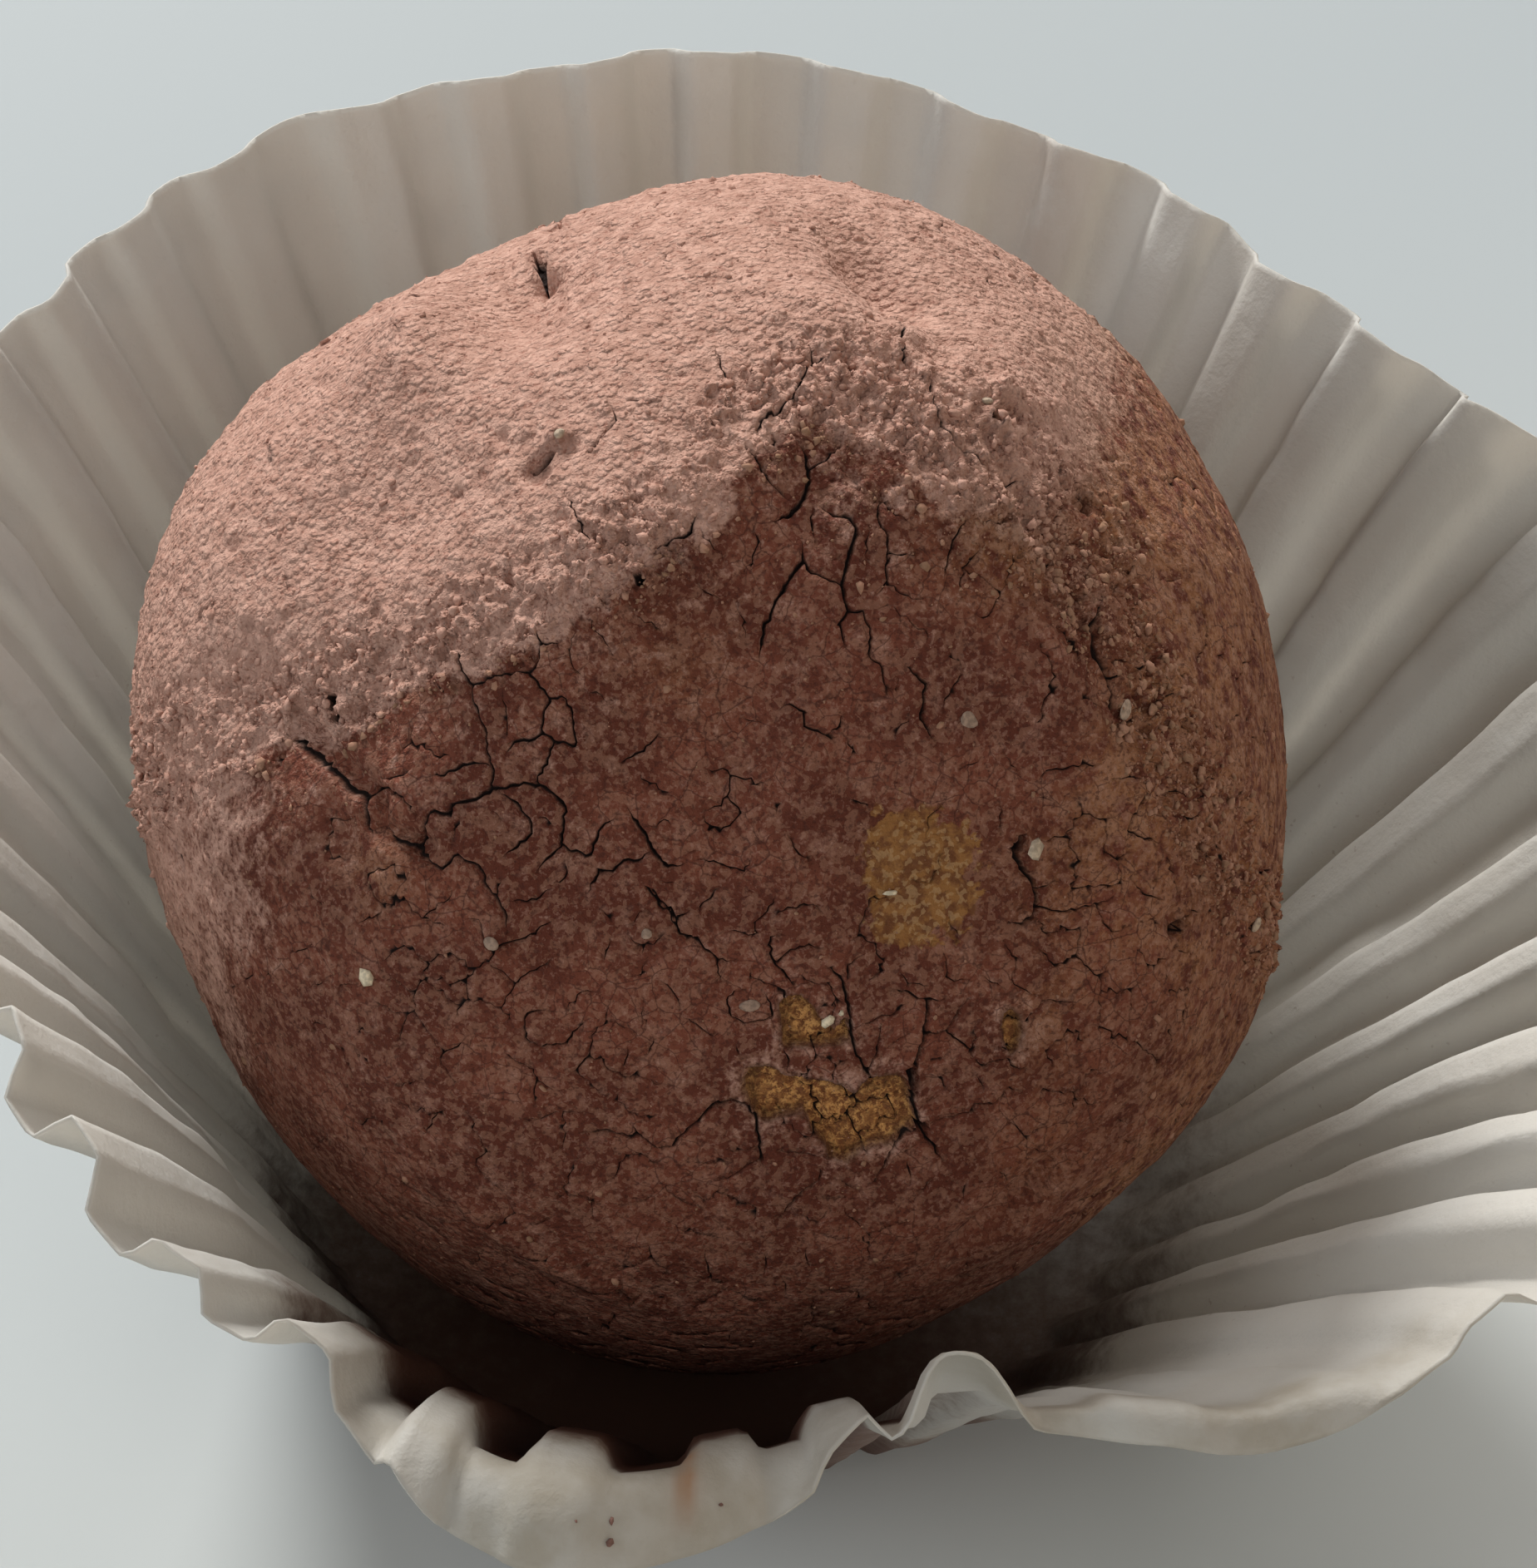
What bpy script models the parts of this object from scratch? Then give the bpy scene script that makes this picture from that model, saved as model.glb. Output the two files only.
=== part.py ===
"""Cocoa-dusted chocolate truffle resting in its pleated paper case.

Units are metres, with +Z up.  The origin is the centre of the case's base, on its
underside.  The front of the piece faces -Y, and its right side faces +X.

The truffle is one hand-rolled solid.  Places on its front are given the way they are
seen from the front and above, at SEEN_FROM: so far across and so far up from the
middle, on a ball of TRUFFLE_RADIUS.  The case is one pleated sheet with a flat base.
"""

import math

import bmesh
import bpy
import numpy as np

MM = 0.001

# Truffle
TRUFFLE_RADIUS = 15.0 * MM
FLAT_SPOT_DROP = 0.35 * MM
REST_GAP = 0.3 * MM
SEEN_FROM = math.radians(50.0)
NEAR_COSINE = 0.2
COCOA_COLOUR = (0.21, 0.105, 0.075)
COCOA_ROUGHNESS = 0.95

# Radius of the truffle's edge as seen from SEEN_FROM, by angle from the right, upward.
EDGE_RADII = (
    (0, 14.65), (30, 14.65), (55, 15.10), (85, 15.15), (108, 14.30), (128, 14.55),
    (150, 15.20), (182, 14.60), (205, 14.15), (240, 15.05), (272, 15.40), (300, 15.15),
    (330, 15.25), (348, 14.85),
)

# Pressed faces of the ball: azimuth and elevation of the middle in degrees, distance
# of the face from the centre and its own radius of curvature in mm.
PRESSED_FACES = (
    ("front", -82, 34, 13.25, 34.0),
    ("right", -8, 14, 14.35, 27.0),
    ("right brow", 2, 46, 14.45, 22.0),
    ("back", 96, 8, 14.10, 30.0),
    ("back left", 158, -14, 14.30, 28.0),
    ("under right", -30, -42, 14.30, 26.0),
    ("low left", -140, -22, 14.60, 26.0),
    ("upper left", 158, 58, 14.65, 21.5),
)
FACE_SOFTNESS = 0.22 * MM

# Brow: the line where the light upper side breaks over the front face, as places
# across and up, and how far the surface drops below it, in mm.
BROW = (
    (-17.0, -2.8, 0.00), (-14.8, -1.5, 0.00), (-12.2, -0.2, 0.03), (-9.5, 0.9, 0.12),
    (-7.8, 1.7, 0.20), (-4.9, 2.6, 0.25), (-3.0, 3.6, 0.30), (-1.8, 4.3, 0.35),
    (-0.1, 5.7, 0.42), (1.0, 7.0, 0.50), (2.3, 8.0, 0.52), (3.2, 7.8, 0.45),
    (4.8, 6.7, 0.35), (6.4, 5.7, 0.30), (7.9, 4.4, 0.28), (9.3, 2.5, 0.20),
    (10.9, -0.7, 0.06), (12.8, -3.6, 0.00), (17.0, -9.0, 0.00),
)
BROW_DROP_WIDTH = 2.6
BROW_DROP_START = -0.7
BROW_FADE = 4.5
BROW_SLOPE_REACH = 0.4
BROW_NEAR_SIDE = 0.3

# Rounded hollows and bumps: across, up, length, width, turn in degrees, height, in mm.
SWELLS = (
    ("left slope hollow", -8.2, 6.2, 3.4, 3.3, 36, -1.05),
    ("plateau hump", -2.7, 4.8, 4.1, 1.7, 69, 0.24),
    ("upper left dent", -4.9, 12.1, 1.8, 2.6, 20, -0.95),
    ("upper left swell", -7.4, 10.9, 1.5, 2.1, 8, 0.67),
    ("left brow hollow", -8.9, 1.8, 4.3, 2.1, 8, -0.75),
    ("top hollow", 4.0, 12.0, 2.0, 0.9, -59, -0.95),
    ("top lip", 2.9, 10.5, 2.2, 1.3, -50, 0.48),
    ("top right bump", 6.6, 8.7, 3.6, 2.2, 65, 0.70),
    ("top bump", 4.7, 10.3, 0.8, 0.5, 60, 0.25),
    ("right shoulder", 7.0, 5.9, 1.5, 1.1, -12, 0.26),
    ("left hollow", -11.7, 2.2, 1.6, 1.1, -15, -0.25),
    ("under crease", -8.9, -1.7, 1.3, 0.7, -60, -0.30),
    ("right lobe", 11.9, 5.3, 1.6, 0.8, -60, 0.25),
    ("right crease, upper", 7.2, 6.4, 1.4, 0.35, -55, -0.34),
    ("right crease, lower", 9.2, 3.0, 1.8, 0.38, -65, -0.36),
    ("right ridge", 8.3, 2.6, 2.2, 0.5, -65, 0.18),
    ("low dimple", 7.4, -10.5, 1.9, 0.6, 28, -0.85),
    ("low edge", -4.3, -11.4, 3.2, 0.5, -30, 0.34),
    ("side knob", 13.7, -4.0, 0.7, 0.5, 70, 0.25),
)

# Small pits and lumps, steeper than the swells: across, up, radius, height, in mm.
PITS = (
    ("upper pit", -4.4, 12.9, 0.42, -0.50),
    ("edge notch", -3.9, 14.2, 0.50, -0.45),
    ("pit by crumb", -4.2, 7.2, 0.42, -0.45),
    ("crumb", -3.7, 8.0, 0.34, 0.25),
    ("pitted crumb", 6.9, 8.8, 0.42, 0.25),
    ("pit in crumb", 7.0, 8.3, 0.30, -0.40),
    ("right pit", 9.1, 6.5, 0.36, -0.45),
    ("left pit", -8.8, 1.4, 0.34, -0.35),
    ("low right pit", 11.2, -3.7, 0.36, -0.35),
    ("low left lump", -5.4, -4.3, 0.40, 0.20),
    ("flake", 8.0, -2.0, 0.40, 0.22),
)

# The deep fold at the left end of the brow, and its branches.
FOLD_LINE = (
    (-10.3, 1.1), (-9.4, 0.3), (-8.7, -0.3), (-8.1, -0.7), (-8.1, -1.4), (-7.0, -1.9),
)
FOLD_DEPTH = 0.70 * MM
FOLD_WIDTH = 0.38 * MM

# Places where the crust has flaked off: across, up, length, width, turn, depth, in mm.
FLAKED_SPOTS = (
    ("middle spot", 5.5, -2.8, 1.45, 1.75, -12, 0.16),
    ("notched spot", 2.7, -6.7, 0.95, 0.62, -10, 0.22),
    ("long spot, left", 1.5, -8.4, 0.85, 0.62, 5, 0.22),
    ("long spot, right", 3.9, -8.9, 1.30, 0.95, 15, 0.22),
    ("small spot", 7.5, -6.4, 0.34, 0.62, 15, 0.18),
)
FLAKED_FLOOR_SHARE = 0.75
FLAKED_EDGE_SHARE = 0.45

# Mesh of the truffle: cuts of each icosahedron edge, then two finer rounds.
BALL_CUTS = 11
FINE_REACH = 2.3 * MM
FINER_REACH = 0.9 * MM
NARROW_SWELL = 1.0  # width in mm under which a swell gets the finer mesh

# Paper case
BASE_RADIUS = 10.5 * MM
PAPER_THICKNESS = 0.25 * MM
CORNER_LENGTH = 1.6 * MM
PLEAT_COUNT = 40
COLUMNS_PER_PLEAT = 4
PLEAT_PHASE = math.radians(0.3)
PLEAT_DEPTH_AT_BASE = 0.14
PLEAT_GROWTH = 0.8
PLEAT_STEEPNESS = 2.0
PLEATS_BEGIN = 0.035
PLEATS_LEVEL_OUT = 0.16
LIP_CURL = math.radians(10.0)
LIP_START = 0.5
PAPER_COLOUR = (0.72, 0.70, 0.66)
PAPER_ROUGHNESS = 0.7
RING_STATIONS = (0.0, 0.035, 0.085, 0.17, 0.32, 0.50, 0.68, 0.82, 0.87, 0.91, 0.95, 1.0)
PROFILE_STEPS = 216

# Length of paper from the base to the rim in mm, by azimuth in degrees.
WALL_LENGTHS = (
    (0, 22.6), (20, 21.8), (40, 21.2), (60, 21.6), (80, 22.6), (100, 23.2), (180, 23.0),
    (220, 22.4), (234, 21.4), (246, 19.6), (262, 21.6), (275, 19.0), (284, 19.4),
    (294, 21.4), (306, 22.4),
)

# How far the wall leans out from upright, in degrees, by azimuth.
WALL_LEANS = (
    (0, 40.0), (20, 35.5), (40, 28.0), (60, 28.0), (80, 26.0), (100, 23.5),
    (125, 25.5), (150, 24.5), (180, 24.0), (200, 22.5), (212, 22.0), (222, 24.5),
    (232, 27.0), (241, 27.5), (250, 30.0), (258, 32.0), (266, 32.0), (274, 30.0),
    (282, 29.0), (290, 30.5), (302, 34.0), (314, 38.0), (330, 39.5), (345, 41.5),
)

# Depth of the pleats at the rim in mm, by azimuth: half of the fold's height.
PLEAT_DEPTHS = (
    (0, 0.70), (20, 0.55), (45, 0.35), (70, 0.28), (100, 0.22), (150, 0.28),
    (185, 0.42), (205, 0.50), (225, 0.55), (245, 0.55), (259, 0.45), (272, 0.45),
    (284, 0.35), (296, 0.14), (312, 0.16), (322, 0.60), (335, 0.75),
)

# The front of the wall folds over and hangs out as a flap.
FLAP_AZIMUTH = 262.0
FLAP_SPAN = 14.5
FLAP_SQUARENESS = 4
FLAP_CURL = math.radians(95.0)
FLAP_START = 0.84
FLAP_REACH = 0.14


def smooth_curve(places, values, where):
    """Smooth curve through values at rising places."""
    after = np.clip(np.searchsorted(places, where, side="right"), 1, len(places) - 1)
    before = after - 1
    span = places[after] - places[before]
    share = np.clip((where - places[before]) / span, 0.0, 1.0)
    slope = (values[2:] - values[:-2]) / (places[2:] - places[:-2])
    slope = np.concatenate((slope[:1], slope, slope[-1:]))
    rise = share * share * (3.0 - 2.0 * share)
    lift = share * (1.0 - share) ** 2 * slope[before] * span
    drop = share ** 2 * (share - 1.0) * slope[after] * span
    return values[before] * (1.0 - rise) + values[after] * rise + lift + drop


def periodic(stations, degrees):
    """Smooth closed curve through (angle in degrees, value) stations."""
    angles = np.array([station[0] for station in stations], float)
    values = np.array([station[1] for station in stations], float)
    angles = np.concatenate((angles - 360.0, angles, angles + 360.0))
    return smooth_curve(angles, np.tile(values, 3), np.mod(degrees, 360.0))


def from_angles(azimuth, elevation):
    """Unit direction from an azimuth and an elevation in degrees."""
    turn, tilt = math.radians(azimuth), math.radians(elevation)
    return np.array((math.cos(tilt) * math.cos(turn),
                     math.cos(tilt) * math.sin(turn), math.sin(tilt)))


ACROSS = np.array((1.0, 0.0, 0.0))
UP = np.array((0.0, math.sin(SEEN_FROM), math.cos(SEEN_FROM)))
TOWARD = np.array((0.0, -math.cos(SEEN_FROM), math.sin(SEEN_FROM)))


def seen(across, up):
    """Unit direction of a place on the near side, given in mm across and up."""
    x, y = across * MM / TRUFFLE_RADIUS, up * MM / TRUFFLE_RADIUS
    depth = math.sqrt(max(0.0, 1.0 - x * x - y * y))
    return x * ACROSS + y * UP + depth * TOWARD


def tangents(direction):
    """Two unit vectors on the ball's surface at a direction: across and up."""
    right = ACROSS - direction * direction.dot(ACROSS)
    right /= np.linalg.norm(right)
    return right, np.cross(direction, right)


def smooth_step(value):
    value = np.clip(value, 0.0, 1.0)
    return value * value * (3.0 - 2.0 * value)


def edge_radius(directions):
    """The ball with its measured edge, fading to a true ball toward the viewer."""
    angle = np.degrees(np.arctan2(directions @ UP, directions @ ACROSS))
    edge = periodic(EDGE_RADII, angle) * MM
    share = 1.0 - (directions @ TOWARD) ** 2
    return TRUFFLE_RADIUS + (edge - TRUFFLE_RADIUS) * share ** 2


def press_faces(directions, radius):
    """Soft minimum of the ball and its flatter, hand-pressed faces."""
    total = np.exp(-radius / FACE_SOFTNESS + TRUFFLE_RADIUS / FACE_SOFTNESS)
    for _, azimuth, elevation, distance, roundness in PRESSED_FACES:
        inset = (roundness - distance) * MM
        cosine = directions @ from_angles(azimuth, elevation)
        along = -inset * cosine
        face = along + np.sqrt(along ** 2 + (roundness * MM) ** 2 - inset ** 2)
        total += np.exp((TRUFFLE_RADIUS - face) / FACE_SOFTNESS)
    return TRUFFLE_RADIUS - FACE_SOFTNESS * np.log(total)


def distance_to_line(directions, line):
    """Distance on the ball to a line of seen places, in metres."""
    nearest = np.full(len(directions), np.inf)
    corners = [seen(*place) for place in line]
    for start, end in zip(corners[:-1], corners[1:]):
        step = end - start
        share = np.clip((directions - start) @ step / step.dot(step), 0.0, 1.0)
        gap = directions - start - share[:, None] * step
        nearest = np.minimum(nearest, np.linalg.norm(gap, axis=1))
    return nearest * TRUFFLE_RADIUS


def brow_relief(directions):
    """The drop of the front face below the brow, which fades out again lower down."""
    across, level, drop = np.array(BROW).T
    x = directions @ ACROSS * TRUFFLE_RADIUS / MM
    y = directions @ UP * TRUFFLE_RADIUS / MM
    ahead = smooth_curve(across, level, x + BROW_SLOPE_REACH)
    behind = smooth_curve(across, level, x - BROW_SLOPE_REACH)
    slope = (ahead - behind) / (2.0 * BROW_SLOPE_REACH)
    below = (smooth_curve(across, level, x) - y) / np.sqrt(1.0 + slope ** 2)
    below -= BROW_DROP_START
    fall = smooth_step(below / BROW_DROP_WIDTH)
    fade = np.exp(-(np.clip(below - BROW_DROP_WIDTH, 0.0, None) / BROW_FADE) ** 2)
    near_side = smooth_step(directions @ TOWARD / BROW_NEAR_SIDE)
    return -smooth_curve(across, drop, x) * MM * near_side * fall * fade


def local_places(directions, across, up, turn):
    """Places round a seen point on its own turned axes, in mm, and which are near."""
    middle = seen(across, up)
    right, above = tangents(middle)
    x = directions @ right * TRUFFLE_RADIUS / MM
    y = directions @ above * TRUFFLE_RADIUS / MM
    cosine, sine = math.cos(math.radians(turn)), math.sin(math.radians(turn))
    near = directions @ middle > NEAR_COSINE
    return x * cosine + y * sine, y * cosine - x * sine, near


def swell_relief(directions):
    relief = np.zeros(len(directions))
    for _, across, up, length, width, turn, height in SWELLS:
        x, y, near = local_places(directions, across, up, turn)
        relief += near * height * MM * np.exp(-(x / length) ** 2 - (y / width) ** 2)
    return relief


def pit_relief(directions):
    relief = np.zeros(len(directions))
    for _, across, up, radius, height in PITS:
        x, y, near = local_places(directions, across, up, 0.0)
        relief += near * height * MM * np.exp(-((x * x + y * y) / radius ** 2) ** 1.5)
    return relief


def fold_relief(directions):
    distance = distance_to_line(directions, FOLD_LINE)
    return -FOLD_DEPTH * np.exp(-(distance / FOLD_WIDTH) ** 2)


def flaked_relief(directions):
    relief = np.zeros(len(directions))
    for _, across, up, length, width, turn, depth in FLAKED_SPOTS:
        x, y, near = local_places(directions, across, up, turn)
        reach = np.sqrt((x / length) ** 2 + (y / width) ** 2)
        floor = 1.0 - smooth_step((reach - FLAKED_FLOOR_SHARE) / FLAKED_EDGE_SHARE)
        relief = np.minimum(relief, near * -depth * MM * floor)
    return relief


def truffle_radius(directions):
    """Distance of the truffle's surface from its centre along each direction."""
    radius = press_faces(directions, edge_radius(directions))
    radius += brow_relief(directions) + swell_relief(directions)
    radius += pit_relief(directions) + fold_relief(directions)
    return radius + flaked_relief(directions)


def fine_places():
    """Middles of the small features, for a finer mesh round them."""
    places = [seen(across, up) for _, across, up, _, _ in PITS]
    places += [seen(spot[1], spot[2]) for spot in FLAKED_SPOTS]
    places += [seen(swell[1], swell[2]) for swell in SWELLS if swell[4] < NARROW_SWELL]
    places += [seen(*place) for place in FOLD_LINE]
    return np.array(places)


def refine(ball, places, reach):
    """Halve every edge of the ball that lies within reach of a place."""
    middles = np.array([(edge.verts[0].co + edge.verts[1].co).normalized()
                        for edge in ball.edges])
    gaps = np.linalg.norm(middles[:, None] - places[None], axis=2).min(axis=1)
    near = gaps * TRUFFLE_RADIUS < reach
    edges = [edge for edge, is_near in zip(ball.edges, near) if is_near]
    bmesh.ops.subdivide_edges(ball, edges=edges, cuts=1, use_grid_fill=True)
    bmesh.ops.triangulate(ball, faces=ball.faces)


def material(name, colour, roughness):
    surface = bpy.data.materials.new(name)
    surface.use_nodes = True
    shader = surface.node_tree.nodes["Principled BSDF"]
    shader.inputs["Base Color"].default_value = (*colour, 1.0)
    shader.inputs["Roughness"].default_value = roughness
    shader.inputs["Metallic"].default_value = 0.0
    surface.diffuse_color = (*colour, 1.0)
    return surface


def add_object(name, mesh, surface, location):
    mesh.materials.append(surface)
    piece = bpy.data.objects.new(name, mesh)
    piece.location = location
    bpy.context.scene.collection.objects.link(piece)
    return piece


def make_truffle():
    """One solid ball with its pressed faces, brow, pits, fold and flaked spots."""
    ball = bmesh.new()
    bmesh.ops.create_icosphere(ball, subdivisions=1, radius=1.0)
    bmesh.ops.subdivide_edges(ball, edges=ball.edges, cuts=BALL_CUTS, use_grid_fill=True)
    bmesh.ops.triangulate(ball, faces=ball.faces)
    places = fine_places()
    brow = np.array([seen(across, up) for across, up, drop in BROW if drop > 0.0])
    refine(ball, np.concatenate((places, brow)), FINE_REACH)
    refine(ball, places, FINER_REACH)

    directions = np.array([vertex.co.normalized() for vertex in ball.verts])
    surface = directions * truffle_radius(directions)[:, None]
    lowest = FLAT_SPOT_DROP - TRUFFLE_RADIUS
    surface[:, 2] = np.maximum(surface[:, 2], lowest)
    for vertex, place in zip(ball.verts, surface):
        vertex.co = place
    bmesh.ops.recalc_face_normals(ball, faces=ball.faces)

    mesh = bpy.data.meshes.new("truffle")
    ball.to_mesh(mesh)
    ball.free()
    mesh.shade_smooth()
    height = PAPER_THICKNESS + REST_GAP - lowest
    cocoa = material("cocoa_crust", COCOA_COLOUR, COCOA_ROUGHNESS)
    return add_object("truffle", mesh, cocoa, (0.0, 0.0, height))


def trapezoid(phase):
    """Pleat wave from -1 to 1: flat outer and inner panels with sloping sides."""
    phase = np.mod(phase, 1.0)
    triangle = 1.0 - 4.0 * np.abs(phase - 0.5)
    return np.clip(PLEAT_STEEPNESS * triangle, -1.0, 1.0)


def wall_profile(azimuth):
    """Outer face of the wall at one azimuth: radius, height and climb at each ring."""
    at = np.array([azimuth])
    lean = math.radians(periodic(WALL_LEANS, at)[0])
    length = periodic(WALL_LENGTHS, at)[0] * MM
    off_flap = (azimuth - FLAP_AZIMUTH + 180.0) % 360.0 - 180.0
    flap = FLAP_CURL * math.exp(-(off_flap / FLAP_SPAN) ** FLAP_SQUARENESS)
    share = np.linspace(0.0, 1.0, PROFILE_STEPS + 1)
    step = length / PROFILE_STEPS
    upright = smooth_step(share * length / CORNER_LENGTH)
    leans = lean + LIP_CURL * smooth_step((share - LIP_START) / (1.0 - LIP_START))
    leans += flap * smooth_step((share - FLAP_START) / FLAP_REACH)
    climb = (math.pi / 2 - leans) * upright
    middle = (climb[1:] + climb[:-1]) / 2
    radius = BASE_RADIUS + np.concatenate(((0.0,), np.cumsum(np.cos(middle)) * step))
    height = np.concatenate(((0.0,), np.cumsum(np.sin(middle)) * step))
    rings = np.array(RING_STATIONS)
    return (np.interp(rings, share, radius), np.interp(rings, share, height),
            np.interp(rings, share, climb))


def case_skins():
    """Outer and inner points of the pleated wall: [ring][column] of each skin."""
    columns = PLEAT_COUNT * COLUMNS_PER_PLEAT
    rings = np.array(RING_STATIONS)
    near_base = PLEAT_DEPTH_AT_BASE * smooth_step(rings / PLEATS_BEGIN) * (1.0 - rings)
    outer = np.zeros((len(rings), columns, 3))
    inner = np.zeros_like(outer)
    for column in range(columns):
        turn = (column + 0.5) / columns * math.tau + PLEAT_PHASE
        azimuth = math.degrees(turn)
        radius, height, climb = wall_profile(azimuth)
        at_rim = periodic(PLEAT_DEPTHS, np.array([azimuth]))[0]
        depth = (at_rim * rings ** PLEAT_GROWTH + near_base) * MM
        wave = float(trapezoid(np.array((column + 0.5) / COLUMNS_PER_PLEAT)))
        out = np.sin(climb)
        down = -np.cos(climb) * smooth_step(rings / PLEATS_LEVEL_OUT)
        r = radius + depth * wave * out
        z = height + depth * wave * down
        for skin, inset in ((outer, 0.0), (inner, PAPER_THICKNESS)):
            skin[:, column, 0] = (r - inset * out) * math.cos(turn)
            skin[:, column, 1] = (r - inset * out) * math.sin(turn)
            skin[:, column, 2] = z + inset * np.cos(climb)
    return outer, inner


def make_case():
    """The pleated paper sheet: two alike skins, joined at the rim, on a flat base."""
    outer, inner = case_skins()
    rings, columns = outer.shape[:2]
    sheet = bmesh.new()
    skins = [[[sheet.verts.new(skin[ring, column]) for column in range(columns)]
              for ring in range(rings)] for skin in (outer, inner)]
    for skin, flip in zip(skins, (False, True)):
        for ring in range(rings - 1):
            for column in range(columns):
                following = (column + 1) % columns
                a, b = skin[ring][column], skin[ring][following]
                c, d = skin[ring + 1][following], skin[ring + 1][column]
                for corners in ((a, b, c), (a, c, d)):
                    sheet.faces.new(corners[::-1] if flip else corners)
    hubs = (sheet.verts.new((0.0, 0.0, 0.0)), sheet.verts.new((0.0, 0.0, PAPER_THICKNESS)))
    outer_skin, inner_skin = skins
    for column in range(columns):
        following = (column + 1) % columns
        sheet.faces.new((hubs[0], outer_skin[0][following], outer_skin[0][column]))
        sheet.faces.new((hubs[1], inner_skin[0][column], inner_skin[0][following]))
        a, b = outer_skin[-1][column], outer_skin[-1][following]
        c, d = inner_skin[-1][following], inner_skin[-1][column]
        sheet.faces.new((a, b, c))
        sheet.faces.new((a, c, d))
    bmesh.ops.recalc_face_normals(sheet, faces=sheet.faces)
    mesh = bpy.data.meshes.new("paper_case")
    sheet.to_mesh(mesh)
    sheet.free()
    paper = material("white_paper", PAPER_COLOUR, PAPER_ROUGHNESS)
    return add_object("paper_case", mesh, paper, (0.0, 0.0, 0.0))


def clear_scene():
    for piece in list(bpy.data.objects):
        bpy.data.objects.remove(piece, do_unlink=True)


clear_scene()
make_truffle()
make_case()
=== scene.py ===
"""Looks of a cocoa-dusted chocolate truffle in its pleated paper case.

Lengths are millimetres and become metres when a mesh is made.  The truffle is a ball
whose radius is worked out along each direction from its centre.  Places that show in
the photograph are given in its pixels and are carried onto the truffle by the camera.
"""

import itertools
import math

import bpy
import numpy as np
from mathutils import Matrix, Vector
from mathutils.geometry import delaunay_2d_cdt
from mathutils.kdtree import KDTree


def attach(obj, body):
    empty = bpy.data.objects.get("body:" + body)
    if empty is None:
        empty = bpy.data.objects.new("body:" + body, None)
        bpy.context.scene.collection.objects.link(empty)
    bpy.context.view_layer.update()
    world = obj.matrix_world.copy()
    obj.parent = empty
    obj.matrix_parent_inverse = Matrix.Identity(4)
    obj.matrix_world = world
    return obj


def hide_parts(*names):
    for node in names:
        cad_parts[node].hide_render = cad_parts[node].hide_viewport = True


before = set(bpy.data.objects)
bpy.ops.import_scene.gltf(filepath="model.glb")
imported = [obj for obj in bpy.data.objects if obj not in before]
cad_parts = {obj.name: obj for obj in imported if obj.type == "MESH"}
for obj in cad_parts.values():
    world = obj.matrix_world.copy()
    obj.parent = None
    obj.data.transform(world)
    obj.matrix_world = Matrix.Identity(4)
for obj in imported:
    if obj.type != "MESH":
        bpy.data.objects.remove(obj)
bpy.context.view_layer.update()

MM = 0.001

# Camera: its elevation and distance, and the truffle's middle and width in pixels.
PHOTO_SIZE = (1848, 1885)
SEEN_FROM = math.radians(50.0)
CAMERA_DISTANCE = 150.0
SENSOR_SIZE = 36.0
TRUFFLE_PIXEL = (860.0, 925.0)
TRUFFLE_PIXELS_ACROSS = 1424.0

# Truffle: the ball that its form departs from, and its lowest place from the centre.
TRUFFLE_RADIUS = 15.0
TRUFFLE_CENTRE = np.array((0.0, 0.0, 15.2))
LOWEST_PLACE = -14.98

# Radius of the truffle's edge as seen from SEEN_FROM, by angle from the right, upward.
EDGE_RADII = (
    (0, 14.65), (30, 14.65), (55, 15.10), (85, 15.15), (108, 14.30), (128, 14.55),
    (150, 15.20), (182, 14.60), (205, 14.15), (240, 15.05), (272, 15.40), (300, 15.15),
    (330, 15.25), (348, 14.85),
)

# Pressed faces of the ball: azimuth and elevation of the middle in degrees, distance
# of the face from the centre and its own radius of curvature.
PRESSED_FACES = (
    ("front", -82, 34, 13.25, 34.0),
    ("right", -8, 14, 14.35, 27.0),
    ("right brow", 2, 46, 14.45, 22.0),
    ("back", 96, 8, 14.10, 30.0),
    ("back left", 158, -14, 14.30, 28.0),
    ("under right", -30, -42, 14.30, 26.0),
    ("low left", -140, -22, 14.60, 26.0),
    ("upper left", 158, 58, 14.65, 21.5),
)
FACE_SOFTNESS = 0.22

# Brow: the line where the light upper side breaks over the front face, as places
# across and up, and how far the surface drops below it.
BROW = (
    (-17.0, -2.8, 0.00), (-14.8, -1.5, 0.00), (-12.2, -0.2, 0.03), (-9.5, 0.9, 0.12),
    (-7.8, 1.7, 0.20), (-4.9, 2.6, 0.25), (-3.0, 3.6, 0.30), (-1.8, 4.3, 0.35),
    (-0.1, 5.7, 0.42), (1.0, 7.0, 0.50), (2.3, 8.0, 0.52), (3.2, 7.8, 0.45),
    (4.8, 6.7, 0.35), (6.4, 5.7, 0.30), (7.9, 4.4, 0.28), (9.3, 2.5, 0.20),
    (10.9, -0.7, 0.06), (12.8, -3.6, 0.00), (17.0, -9.0, 0.00),
)
BROW_STEP = 0.4
BROW_DROP_WIDTH = 2.6
BROW_DROP_START = -0.7
BROW_FADE = 4.5

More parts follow.
